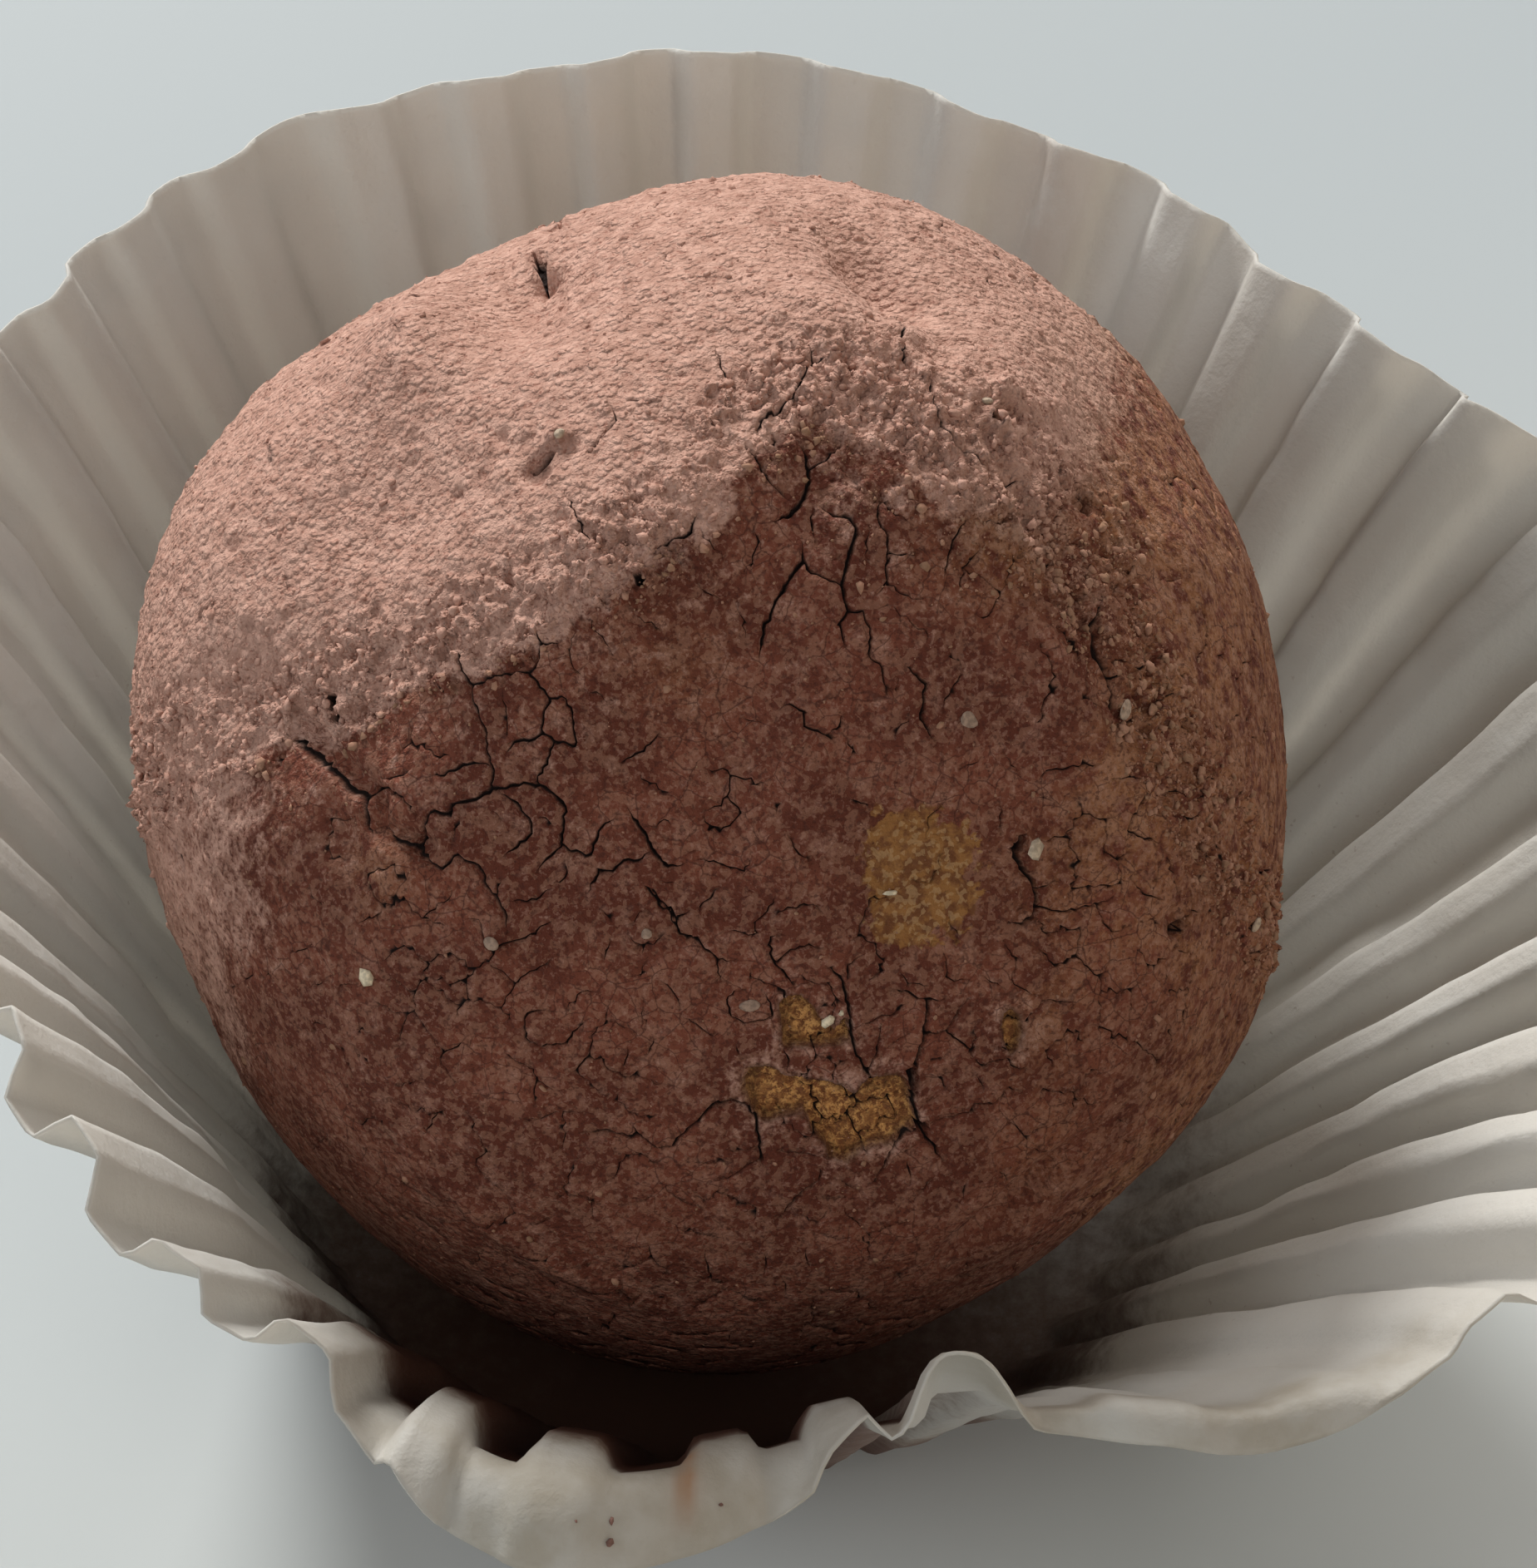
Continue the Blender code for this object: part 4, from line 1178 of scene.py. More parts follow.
def crust_skin(cracks, chips, tree, halves):
    """Directions and triangles of the closed crust, with cracks and chips along edges."""
    middles, edges, lips = crack_rows(cracks, tree, halves)
    points = [middles, lips, fill_points(chips, tree, halves)]
    rows, row_edges = chip_rows(chips, sum(len(group) for group in points))
    ring = np.radians(np.arange(RIM_POINTS) * 360.0 / RIM_POINTS)
    low = math.radians(RIM_ELEVATION)
    ring = np.column_stack((np.cos(ring) * math.cos(low), np.sin(ring) * math.cos(low),
                            np.full(RIM_POINTS, math.sin(low))))
    corners, faces = triangulate(np.concatenate(points + rows + [ring]), edges + row_edges)

    rim = np.flatnonzero(corners[:, 2] < math.sin(math.radians(RIM_ELEVATION + 0.1)))
    rim = rim[np.argsort(np.arctan2(corners[rim, 1], corners[rim, 0]))]
    fan = np.column_stack((np.roll(rim, -1), rim, np.full(len(rim), len(corners))))
    corners = np.concatenate((corners, ((0.0, 0.0, -1.0),)))
    return corners, np.concatenate((faces, fan))


def cut_cracks(corners, radius, tree, halves):
    """Lowers the radius in the cracks and lifts their lips; returns the painted shade in
    them.
    """
    gap, half = nearest_crack(corners, tree, halves)
    share = np.clip(1.0 - gap / half, 0.0, 1.0)
    depth = np.minimum(CRACK_LEAST_DEPTH + CRACK_STEEPNESS * half, CRACK_MOST_DEPTH)
    curl = (CURL_HEIGHT * np.clip(half / CURL_FULL_HALF, 0.0, 1.0)
            * np.exp(-np.maximum(gap - half, 0.0) / CURL_WIDTH))
    radius -= depth * share
    radius += curl * (gap > 0.6 * half)
    return share * np.clip(half / CRACK_DARK_HALF, CRACK_LEAST_SHADE, 1.0)


def cut_chips(corners, radius, dust, grit, chips):
    """Lowers the radius in the chips and lifts their rims.

    Returns the shares of chip, of painted shadow inside the chip's edge, of sand and of loose
    cocoa, with a pale ring round each chip that is partly painted highlight.
    """
    chip_share, edge, sand = np.zeros((3, len(corners)))
    beside = unit(corners + (UP - ACROSS) * CHIP_SHADE_REACH / TRUFFLE_RADIUS)
    for chip in chips:
        inside = chip.signed_distance(corners)
        reach = inside + SAND_START + SAND_GRIT * grit if chip.soft else inside
        floor = smooth_step(reach / chip.softness)
        radius -= chip.depth * floor - CHIP_GRIT * floor * grit * chip.depth / CHIP_GRIT_DEPTH
        if chip.soft:
            sand = np.maximum(sand, floor)
            continue
        chip_share = np.maximum(chip_share, floor)
        # Painted shadow in the chip: along the foot of its edge and below its upper left
        # side.
        near_edge = np.exp(-(np.clip(inside, 0.0, None) / CHIP_EDGE_WIDTH) ** 2)
        shade = CHIP_SHADE_START - chip.signed_distance(beside) + CHIP_SHADE_GRIT * grit
        shade = np.maximum(CHIP_EDGE_SHADE * near_edge, smooth_step(shade / CHIP_SHADE_WIDTH))
        edge = np.maximum(edge, shade * (inside > -0.01))
        beyond = np.clip(-inside, 0.0, None)
        radius += CHIP_RIM_HEIGHT * np.exp(-(beyond / CHIP_RIM_WIDTH) ** 2) * (1.0 - floor)
        # Paler cocoa round the chip: partly loose cocoa, partly painted highlight on its
        # flaked rim.
        dust = np.maximum(dust, CHIP_DUST_AND_HIGHLIGHT * np.exp(-(beyond / CHIP_DUST_AND_HIGHLIGHT_WIDTH) ** 2))
    return chip_share, edge, sand, dust


def cut_holes(corners, radius, grit, holes):
    """Lowers the radius in the holes and lifts their rims; returns their share."""
    hollow = np.zeros(len(corners))
    for hole in holes:
        inside = hole.signed_distance(corners)
        floor = smooth_step(inside / hole.softness)
        lip = HOLE_LIP_HEIGHT * np.exp(-(np.clip(-inside, 0.0, None) / HOLE_LIP_WIDTH) ** 2)
        radius += lip * (1.0 - floor) - hole.depth * floor * (1.0 + HOLE_GRIT * grit)
        hollow = np.maximum(hollow, floor)
    return hollow


def make_crust():
    """The truffle's whole crust as one closed mesh, cut by its cracks and chips."""
    cracks = traced_cracks()
    add_network(cracks)
    places, halves = cracks.samples()
    tree = tree_of(places)
    chips = [Chip(*chip[1:]) for chip in CHIPS]
    holes = [Chip(depth, HOLE_SOFTNESS, text) for _, depth, text in HOLES]
    corners, faces = crust_skin(cracks, chips + holes, tree, halves)

    points = corners * TRUFFLE_RADIUS
    grit = noise(points, 0.13, 51) + 0.6 * noise(points, 0.3, 52)
    radius = crust_radius(corners)
    crack = cut_cracks(corners, radius, tree, halves)
    chip, edge, sand, dust = cut_chips(corners, radius, dust_cover(corners), grit, chips)
    hollow = cut_holes(corners, radius, grit, holes)
    surface = corners * radius[:, None]
    surface[:, 2] = np.maximum(surface[:, 2], LOWEST_PLACE)

    crust = add_piece("cocoa_crust", surface + TRUFFLE_CENTRE, faces, "cocoa_crust")
    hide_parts("truffle")
    # The "crack" attribute carries the painted shade deep in the cracks and in the holes.
    for name, values in (("crack", np.maximum(crack, HOLE_PAINTED_SHADE * hollow)), ("chip", chip),
                         ("chip_edge_shadow", edge), ("sand", sand), ("dust", dust),
                         ("ochre", ochre_tint(corners))):
        add_attribute(crust, name, values)
    return crust, tree, halves


def random_turns(count):
    """Random rotations, one matrix each."""
    first = unit(random.normal(size=(count, 3)))
    other = random.normal(size=(count, 3))
    second = unit(np.cross(first, other))
    return np.stack((first, second, np.cross(first, second)), axis=1)


def lying_turns(normals, tilt):
    """Random rotations whose third axis stays near the surface's normal."""
    count = len(normals)
    third = unit(normals + tilt * random.normal(size=(count, 3)))
    first = unit(np.cross(third, random.normal(size=(count, 3))))
    return np.stack((first, np.cross(third, first), third), axis=1)


def scatter(name, middles, sizes, shape, faces, slot, roughness, turns=None):
    """One mesh of many small irregular bodies round their middles."""
    count, corners = len(middles), len(shape)
    turns = random_turns(count) if turns is None else turns
    body = shape[None] * (1.0 + roughness * random.uniform(-1, 1, (count, corners, 1)))
    body = body * sizes[:, None, :]
    body = np.einsum("nci,nij->ncj", body, turns)
    points = (middles[:, None] + body).reshape(-1, 3)
    index = faces[None] + (np.arange(count) * corners)[:, None, None]
    return add_piece(name, points, index.reshape(-1, 3), slot, smooth=False)


OCTAHEDRON = np.array(((1, 0, 0), (-1, 0, 0), (0, 1, 0), (0, -1, 0), (0, 0, 1),
                       (0, 0, -1)), float)
OCTAHEDRON_FACES = np.array(((0, 2, 4), (2, 1, 4), (1, 3, 4), (3, 0, 4),
                             (2, 0, 5), (1, 2, 5), (3, 1, 5), (0, 3, 5)))


# Longer than an icosahedron's edge and shorter than its other gaps, on the unit ball.
EDGE_LIMIT = 1.2


def icosahedron():
    """Corners and outward triangles of an icosahedron in the unit ball."""
    golden = (1.0 + math.sqrt(5.0)) / 2.0
    points = []
    for first in (-1.0, 1.0):
        for second in (-golden, golden):
            points += [(0.0, first, second), (first, second, 0.0), (second, 0.0, first)]
    points = unit(np.array(points))
    faces = []
    for trio in itertools.combinations(range(12), 3):
        a, b, c = points[list(trio)]
        gaps = (np.linalg.norm(a - b), np.linalg.norm(b - c), np.linalg.norm(c - a))
        if max(gaps) < EDGE_LIMIT:
            outward = np.dot(np.cross(b - a, c - a), a + b + c) > 0.0
            faces.append(trio if outward else trio[::-1])
    return points, np.array(faces)


# Loose cocoa: spacing of the places where a grain or clump may lie, smallest and
# largest size in mm, flatness and unevenness of each kind.
GRAIN_SPACING = 0.15
GRAIN_SIZES, GRAIN_FLATNESS, GRAIN_ROUGHNESS = (0.04, 0.15), 0.65, 0.40
CLUMP_SIZES, CLUMP_FLATNESS, CLUMP_ROUGHNESS = (0.07, 0.36), 0.55, 0.42
CLUMP_TILT = 0.45
GRAIN_CLEARANCE = 0.03


def grain_density(directions):
    """How thickly fine grains lie."""
    patches = smooth_step(0.5 + 0.9 * noise(directions * TRUFFLE_RADIUS, 1.2, 63))
    return (dust_cover(directions) * (0.05 + 0.10 * patches) + 0.7 * crest_share(directions)
            + 0.7 * granular_share(directions) + 0.012)


def clump_density(directions):
    """How thickly crumbs lie: on the crest and in the granular patches."""
    return (0.46 * crest_share(directions) + 0.20 * granular_share(directions)
            + 0.012 * dust_cover(directions) + 0.002)


def spread_grains(tree, halves, density, sizes, flatness):
    """Middles and sizes of grains that rest on the crust, clear of its cracks."""
    directions = fibonacci(GRAIN_SPACING, 0.45)
    directions = directions[directions[:, 2] > -0.9]
    directions = directions[random.random(len(directions)) < density(directions)]
    gap, half = nearest_crack(directions, tree, halves)
    directions = directions[(gap > half + GRAIN_CLEARANCE) | (half < GRAIN_CLEARANCE)]
    size = sizes[0] + (sizes[1] - sizes[0]) * random.random(len(directions)) ** 2.2
    shares = random.uniform((0.8, 0.55, flatness - 0.12), (1.0, 0.95, flatness + 0.12),
                            (len(directions), 3))
    radius = crust_radius(directions) - 0.06 * size
    middles = directions * radius[:, None] + TRUFFLE_CENTRE
    order = random.permutation(len(middles))
    return middles[order], (size[:, None] * shares / 2.0)[order]


def make_grains(tree, halves):
    """Loose cocoa: fine grains and larger clumps."""
    grain_middles, sizes = spread_grains(tree, halves, grain_density, GRAIN_SIZES,
                                         GRAIN_FLATNESS)
    grains = scatter("cocoa_grains", grain_middles, sizes, OCTAHEDRON, OCTAHEDRON_FACES,
                     "cocoa_crust", GRAIN_ROUGHNESS)
    shape, faces = icosahedron()
    middles, sizes = spread_grains(tree, halves, clump_density, CLUMP_SIZES, CLUMP_FLATNESS)
    turns = lying_turns(unit(middles - TRUFFLE_CENTRE), CLUMP_TILT)
    clumps = scatter("cocoa_clumps", middles, sizes, shape, faces, "cocoa_crust",
                     CLUMP_ROUGHNESS, turns)
    for piece, places, corners in ((grains, grain_middles, len(OCTAHEDRON)),
                                   (clumps, middles, len(shape))):
        share = dust_cover(unit(places - TRUFFLE_CENTRE))
        add_attribute(piece, "dust", np.repeat(share, corners))
    return grains, clumps


def make_flecks():
    """Pale flecks and flakes, each an uneven little body lying on the crust."""
    shape, faces = icosahedron()
    pieces = []
    for name, pixel, length, width, height, turn, paleness in FLECKS:
        direction = photo_places([pixel])[0]
        right, above = tangents(direction)
        cosine, sine = math.cos(math.radians(turn)), math.sin(math.radians(turn))
        axes = np.stack((right * cosine + above * sine, above * cosine - right * sine,
                         direction))
        radius = crust_radius(direction[None])[0]
        middle = direction * (radius + FLECK_RISE * height) + TRUFFLE_CENTRE
        sizes = np.array(((length, width, height),)) / 2.0
        piece = scatter(name.replace(" ", "_"), middle[None], sizes, shape, faces,
                        "cocoa_crust", FLECK_ROUGHNESS, axes[None])
        if paleness < SHARP_PALENESS:
            softer = piece.modifiers.new("soften", "SUBSURF")
            softer.levels = softer.render_levels = 1
        pieces.append((piece, paleness))
    return pieces


# ---------------------------------------------------------------- paper case

# Unevenness of the case: its noise runs along a circle of this radius in mm, and an
# amount goes with each noise below in mm, degrees or pleats.
NOISE_CIRCLE = 20.0
LEAN_NOISE = 1.6
DEPTH_NOISE = 0.28
SHARPNESS, SHARPNESS_NOISE = 2.9, 0.9
PHASE_NOISE, PHASE_DRIFT = 0.10, 0.09
CRINKLE, FINE_CRINKLE = 0.10, 0.045
EDGE_NOISE = 0.16
BASE_SHARE = -0.1


def off_azimuth(azimuth, middle):
    """Degrees from a middle azimuth, from -180 to 180."""
    return (azimuth - middle + 180.0) % 360.0 - 180.0


def bell(azimuth, middle, span):
    """1 at the middle azimuth, fading out over a span in degrees."""
    return np.exp(-(off_azimuth(azimuth, middle) / span) ** 2)


def plateau(azimuth, middle, span):
    """Like bell, with a flatter top and steeper sides."""
    return np.exp(-(off_azimuth(azimuth, middle) / span) ** 4)


def feature_share(azimuth, feature):
    """Share of one of the rim's features in each column."""
    return plateau(azimuth, feature["azimuth"], feature["span"])[:, None]


def wall_grid():
    """Middle surface of the case's wall: radius, height and climb by column and step."""
    columns = PLEAT_COUNT * COLUMNS_PER_PLEAT
    azimuth = np.arange(columns) * 360.0 / columns
    circle = np.column_stack((np.cos(np.radians(azimuth)), np.sin(np.radians(azimuth)),
                              np.zeros(columns))) * NOISE_CIRCLE
    share = np.linspace(0.0, 1.0, PROFILE_STEPS + 1)
    length = periodic(WALL_LENGTHS, azimuth)[:, None]
    step = length / PROFILE_STEPS
    lean = periodic(WALL_LEANS, azimuth) + LEAN_NOISE * noise(circle, 6.0, 71)
    lip = LIP_CURL * smooth_step((share - 0.5) / 0.5)[None]
    flap = FRONT_FLAP["curl"] * feature_share(azimuth, FRONT_FLAP)
    lip = lip + flap * smooth_step((share - FRONT_FLAP["start"]) / FRONT_FLAP["reach"])[None]
    turned = bell(azimuth, TURNED_RIM["azimuth"], TURNED_RIM["span"]) * 1.6 - 0.3
    turned = (TURNED_RIM["curl"] * smooth_step(turned))[:, None]
    turned = turned * smooth_step((share - TURNED_RIM["start"]) / TURNED_RIM["reach"])[None]
    upright = smooth_step(share[None] * length / CORNER_LENGTH)
    climb = np.radians(90.0 - lean[:, None] - lip - turned) * upright
    middle = (climb[:, 1:] + climb[:, :-1]) / 2
    zero = np.zeros((columns, 1))
    radius = np.concatenate((zero, np.cumsum(np.cos(middle) * step, axis=1)), axis=1)
    height = np.concatenate((zero, np.cumsum(np.sin(middle) * step, axis=1)), axis=1)
    return azimuth, circle, BASE_RADIUS + radius, height, climb


def pleat_wave(phase, sharpness):
    """Pleat wave from -1 to 1: flat outer and inner panels with sloping sides."""
    triangle = 1.0 - 4.0 * np.abs(np.mod(phase, 1.0) - 0.5)
    return 2.0 * smooth_step((sharpness * triangle + 1.0) / 2.0) - 1.0


def pleated_wall(azimuth, circle, rings, radius, height, climb):
    """Places of the wall's middle surface by column and ring, with its pleats."""
    def over_rings(start, reach):
        return smooth_step((rings - start) / reach)[None]

    columns = len(azimuth)
    depth = periodic(PLEAT_DEPTHS, azimuth)[:, None] * rings ** 0.8
    depth = depth + PLEAT_DEPTH_AT_BASE * smooth_step(rings / 0.035) * (1.0 - rings)
    uneven = 1.0 + DEPTH_NOISE * noise(circle, 5.0, 72)
    sharp = SHARPNESS + SHARPNESS_NOISE * noise(circle, 7.0, 73)
    phase = (azimuth - PLEAT_PHASE) / 360.0 * PLEAT_COUNT
    phase = phase[:, None] + PHASE_NOISE * noise(circle, 4.0, 74)[:, None]
    drift = np.column_stack((np.repeat(circle[:, :2], len(rings), axis=0),
                             np.tile(rings * PAPER_LENGTH, columns)))
    phase = phase + PHASE_DRIFT * noise(drift, 7.0, 75).reshape(columns, -1)
    shift = pleat_wave(phase, sharp[:, None]) * depth * uneven[:, None]
    flattened = (feature_share(azimuth, FRONT_FLAP)
                 * over_rings(FRONT_FLAP["flat_start"], PRESSED_REACH))
    shift = shift * (1.0 - FRONT_FLAP["flat"] * flattened)
    tab = feature_share(azimuth, RIM_TAB) * over_rings(RIM_TAB["start"], PRESSED_REACH)
    shift = shift * (1.0 - RIM_TAB["flat"] * tab) - RIM_TAB["push"] * tab
    crinkle = CRINKLE * noise(drift, 2.6, 76) + FINE_CRINKLE * noise(drift, 1.1, 77)
    shift = shift + crinkle.reshape(columns, -1) * over_rings(0.0, 0.2)
    down = -np.cos(climb) * over_rings(0.0, 0.16)
    edge = EDGE_NOISE * noise(circle, 1.7, 78)[:, None] * over_rings(0.9, 0.1)
    r = radius + shift * np.sin(climb) + edge * np.cos(climb)
    z = height + shift * down + edge * np.sin(climb) + RIM_TAB["rise"] * tab
    turn = np.radians(azimuth)[:, None]
    return np.stack((r * np.cos(turn), r * np.sin(turn), z), axis=2)


def sheet_faces(columns, count):
    """Triangles of a closed sheet: both skins, the rim and the two caps of its base."""
    index = np.arange(columns * count).reshape(columns, count)
    following = np.roll(index, -1, axis=0)
    side = columns * count
    a, b = index[:, :-1].ravel(), following[:, :-1].ravel()
    c, d = following[:, 1:].ravel(), index[:, 1:].ravel()
    skin = np.concatenate((np.column_stack((a, b, c)), np.column_stack((a, c, d))))
    end, next_end = index[:, -1], following[:, -1]
    rim = np.concatenate((np.column_stack((end, next_end, next_end + side)),
                          np.column_stack((end, next_end + side, end + side))))
    first, second = index[:, 0], following[:, 0]
    cap = np.column_stack((second, first, np.full(columns, 2 * side)))
    inner_cap = np.column_stack((first + side, second + side, np.full(columns, 2 * side + 1)))
    return np.concatenate((skin, skin[:, ::-1] + side, rim, cap, inner_cap))


def shade_paper(case, rings, azimuth):
    """Stores where the paper is stained, where painted shade darkens it, and where cocoa that
    is partly painted shade covers it.
    """
    stain = 0.0
    for middle, span, start, end, strength in PAPER_STAINS:
        band = (smooth_step((rings - start) / STAIN_REACH)
                * smooth_step((end - rings) / STAIN_REACH))
        stain = stain + strength * band * bell(azimuth, middle, span)
    # Painted shade on the turned-over flap and the turned rim, which lie in shadow.
    painted_shade = 0.0
    for middle, span, start, reach in PAPER_PAINTED_SHADES:
        shade = plateau(azimuth, middle, span) * smooth_step((rings - start) / reach)
        painted_shade = np.maximum(painted_shade, shade)
    # The "cocoa" share at the front and low on the wall is partly loose cocoa and partly
    # painted shade under the truffle.
    middle = FRONT_COCOA_AND_SHADE["azimuth"]
    front = FRONT_COCOA_AND_SHADE["share"] * plateau(azimuth, middle, FRONT_COCOA_AND_SHADE["span"])
    front = front * smooth_step((FRONT_COCOA_AND_SHADE["end"] - rings) / FRONT_COCOA_AND_SHADE["reach"])
    near_front = plateau(azimuth, middle, LOW_COCOA_AND_SHADE["span"])
    low = smooth_step((LOW_COCOA_AND_SHADE["end"] - rings) / LOW_COCOA_AND_SHADE["reach"])
    low = (LOW_COCOA_AND_SHADE["share"] + LOW_COCOA_AND_SHADE["more"] * near_front) * low
    for name, values in (("ring", rings), ("stain", np.clip(stain, 0.0, 1.0)), ("painted_shade", painted_shade),
                         ("cocoa", np.maximum(front, low))):
        add_attribute(case, name, values)


def make_case():
    """The pleated paper sheet, closed over both faces, on its flat base."""
    azimuth, circle, *profile = wall_grid()
    columns = len(azimuth)
    body = np.linspace(0.0, FINE_RIM_SHARE, WALL_RINGS, endpoint=False)
    rings = np.concatenate((body, np.linspace(FINE_RIM_SHARE, 1.0, FINE_RINGS)))
    at = rings * PROFILE_STEPS
    low = np.minimum(at.astype(int), PROFILE_STEPS - 1)
    part = at - low
    profile = [table[:, low] * (1.0 - part) + table[:, low + 1] * part for table in profile]
    wall = pleated_wall(azimuth, circle, rings, *profile)

    turn = np.radians(azimuth)
    base = np.stack([np.stack((share * BASE_RADIUS * np.cos(turn),
                               share * BASE_RADIUS * np.sin(turn),
                               np.zeros(columns)), axis=1) for share in BASE_RINGS], axis=1)
    middle = np.concatenate((base, wall), axis=1)
    middle[:, :, 2] += PAPER_THICKNESS / 2
    along = np.roll(middle, -1, axis=0) - np.roll(middle, 1, axis=0)
    normal = unit(np.cross(along, np.gradient(middle, axis=1)))
    outer = middle + normal * PAPER_THICKNESS / 2
    inner = middle - normal * PAPER_THICKNESS / 2
    points = np.concatenate((outer.reshape(-1, 3), inner.reshape(-1, 3),
                             ((0.0, 0.0, 0.0), (0.0, 0.0, PAPER_THICKNESS))))
    count = middle.shape[1]
    case = add_piece("pleated_paper", points, sheet_faces(columns, count), "case_paper")
    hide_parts("paper_case")

    ring_share = np.concatenate((np.full(len(BASE_RINGS), BASE_SHARE), rings))
    ring_share = np.append(np.tile(ring_share, 2 * columns), (BASE_SHARE, BASE_SHARE))
    around = np.append(np.tile(np.repeat(azimuth, count), 2), (0.0, 0.0))
    shade_paper(case, ring_share, around)
    return case


def make_paper_specks(case):
    """Cocoa specks on the front flap, at the places where the photo shows them."""
    count = len(case.data.vertices)
    points = np.empty(count * 3)
    case.data.vertices.foreach_get("co", points)
    points = points.reshape(-1, 3) / MM
    away = points - CAMERA_PLACE
    depth = -(away @ TOWARD)
    across = PHOTO_SIZE[0] / 2 + away @ ACROSS / depth * FOCAL_PIXELS
    down = PHOTO_SIZE[1] / 2 - away @ UP / depth * FOCAL_PIXELS
    middles, sizes = [], []
    for x, y, size in PAPER_SPECKS:
        near = np.hypot(across - x, down - y) < SPECK_SEARCH_PIXELS
        if near.any():
            chosen = np.flatnonzero(near)[np.argmin(depth[near])]
            middles.append(points[chosen] + TOWARD * SPECK_RISE)
            sizes.append((size, 0.8 * size, 0.6 * size))
    shape, faces = icosahedron()
    return scatter("paper_specks", np.array(middles), np.array(sizes) / 2.0, shape, faces,
                   "cocoa_crust", SPECK_ROUGHNESS)


# ---------------------------------------------------------------- materials

class Shader:
    """Short way to build a material's nodes.  Sizes and distances are in mm."""

    def __init__(self, name):
        self.material = bpy.data.materials.new(name)
        self.material.use_nodes = True
        self.tree = self.material.node_tree
        self.principled = self.tree.nodes["Principled BSDF"]
        self.output = self.tree.nodes["Material Output"]
        self.coordinate = self.node("TexCoord").outputs["Object"]

    def node(self, kind, inputs=None, **settings):
        """Adds a node, sets it up and feeds its inputs."""
        made = self.tree.nodes.new("ShaderNode" + kind)
        for name, value in settings.items():
            setattr(made, name, value)
        for name, value in (inputs or {}).items():
            self.put(made.inputs[name], value)
        return made

    def put(self, socket, value):
        """Links a socket or sets its own value."""
        if isinstance(value, bpy.types.NodeSocket):
            self.tree.links.new(value, socket)
        else:
            socket.default_value = value

    def set(self, name, value):
        self.put(self.principled.inputs[name], value)

    def attribute(self, name):
        return self.node("Attribute", attribute_name=name).outputs["Fac"]

    def math(self, operation, first, second):
        made = self.node("Math", operation=operation)
        self.put(made.inputs[0], first)
        self.put(made.inputs[1], second)
        return made.outputs[0]

    def times(self, first, second):
        return self.math("MULTIPLY", first, second)

    def swing(self, value, amount):
        """A value from 0 to 1, moved to both sides of 0 and scaled."""
        return self.times(self.math("SUBTRACT", value, 0.5), amount)

    def ramp(self, value, low, high, start=0.0, end=1.0):
        """Smooth step from start to end while the value goes from low to high."""
        made = self.node("MapRange", {"Value": value, "From Min": low, "From Max": high,
                                      "To Min": start, "To Max": end},
                         interpolation_type="SMOOTHSTEP", clamp=True)
        return made.outputs["Result"]

    def mix(self, share, first, second):
        made = self.node("Mix", data_type="RGBA")
        self.put(made.inputs[0], share)
        for socket, colour in ((made.inputs[6], first), (made.inputs[7], second)):
            self.put(socket, (*colour, 1.0) if isinstance(colour, tuple) else colour)
        return made.outputs[2]

    def noise(self, size, detail=2.0, roughness=0.5, output="Fac"):
        """Noise from 0 to 1 with lumps of a size."""
        made = self.node("TexNoise", {"Vector": self.coordinate, "Scale": 1.0 / (size * MM),
                                      "Detail": detail, "Roughness": roughness})
        return made.outputs[output]

    def cells(self, size, coordinate, feature="F1"):
        return self.node("TexVoronoi", {"Vector": coordinate, "Scale": 1.0 / (size * MM)},
                         feature=feature)

    def lines(self, size, width, coordinate):
        """1 on the borders of cells of a size, in lines of a width."""
        made = self.cells(size, coordinate, "DISTANCE_TO_EDGE")
        return self.ramp(made.outputs["Distance"], 0.0, width / size, 1.0, 0.0)

    def bend(self, size, amount):
        """Coordinate that sways by an amount over a size."""
        sway = self.node("VectorMath", {0: self.noise(size, output="Color"),
                                        1: (amount * MM,) * 3, 2: self.coordinate},
                         operation="MULTIPLY_ADD")
        return sway.outputs[0]

    def cell_tone(self, cells):
        """One random value for each cell."""
        return self.node("SeparateColor", {0: cells.outputs["Color"]}).outputs[0]

    def crumbs(self, size, coordinate):
        """Height of packed crumbs of a size, each at its own level."""
        cells = self.cells(size, coordinate)
        dome = self.ramp(cells.outputs["Distance"], 0.65, 0.15, 0.0, 0.6)
        return self.math("ADD", self.times(self.cell_tone(cells), 0.6), dome)

    def bump(self, height, distance):
        return self.node("Bump", {"Height": height, "Strength": 1.0,
                                  "Distance": distance * MM}).outputs["Normal"]


CRUST_DARK = (0.120, 0.033, 0.020)
CRUST_MID = (0.198, 0.062, 0.038)
CRUST_DEEP = (0.070, 0.022, 0.016)
CRUST_TAN = (0.40, 0.215, 0.145)
CRUST_OCHRE = (0.33, 0.150, 0.070)
DUST_LIGHT = (0.56, 0.335, 0.265)
DUST_MID = (0.42, 0.235, 0.180)
DUST_TAN = (0.30, 0.170, 0.105)
HAIR_COLOUR = (0.065, 0.021, 0.015)
# Near black: painted shade deep in cracks and holes.
CRACK_PAINTED_SHADE = (0.012, 0.006, 0.005)
CHIP_COLOUR = (0.68, 0.35, 0.125)
CHIP_DARK = (0.24, 0.095, 0.034)
CHIP_SHADOW = (0.060, 0.026, 0.012)
SAND_COLOUR = (0.33, 0.155, 0.050)
SAND_DARK = (0.17, 0.066, 0.026)
SAND_PALE = (0.52, 0.34, 0.17)


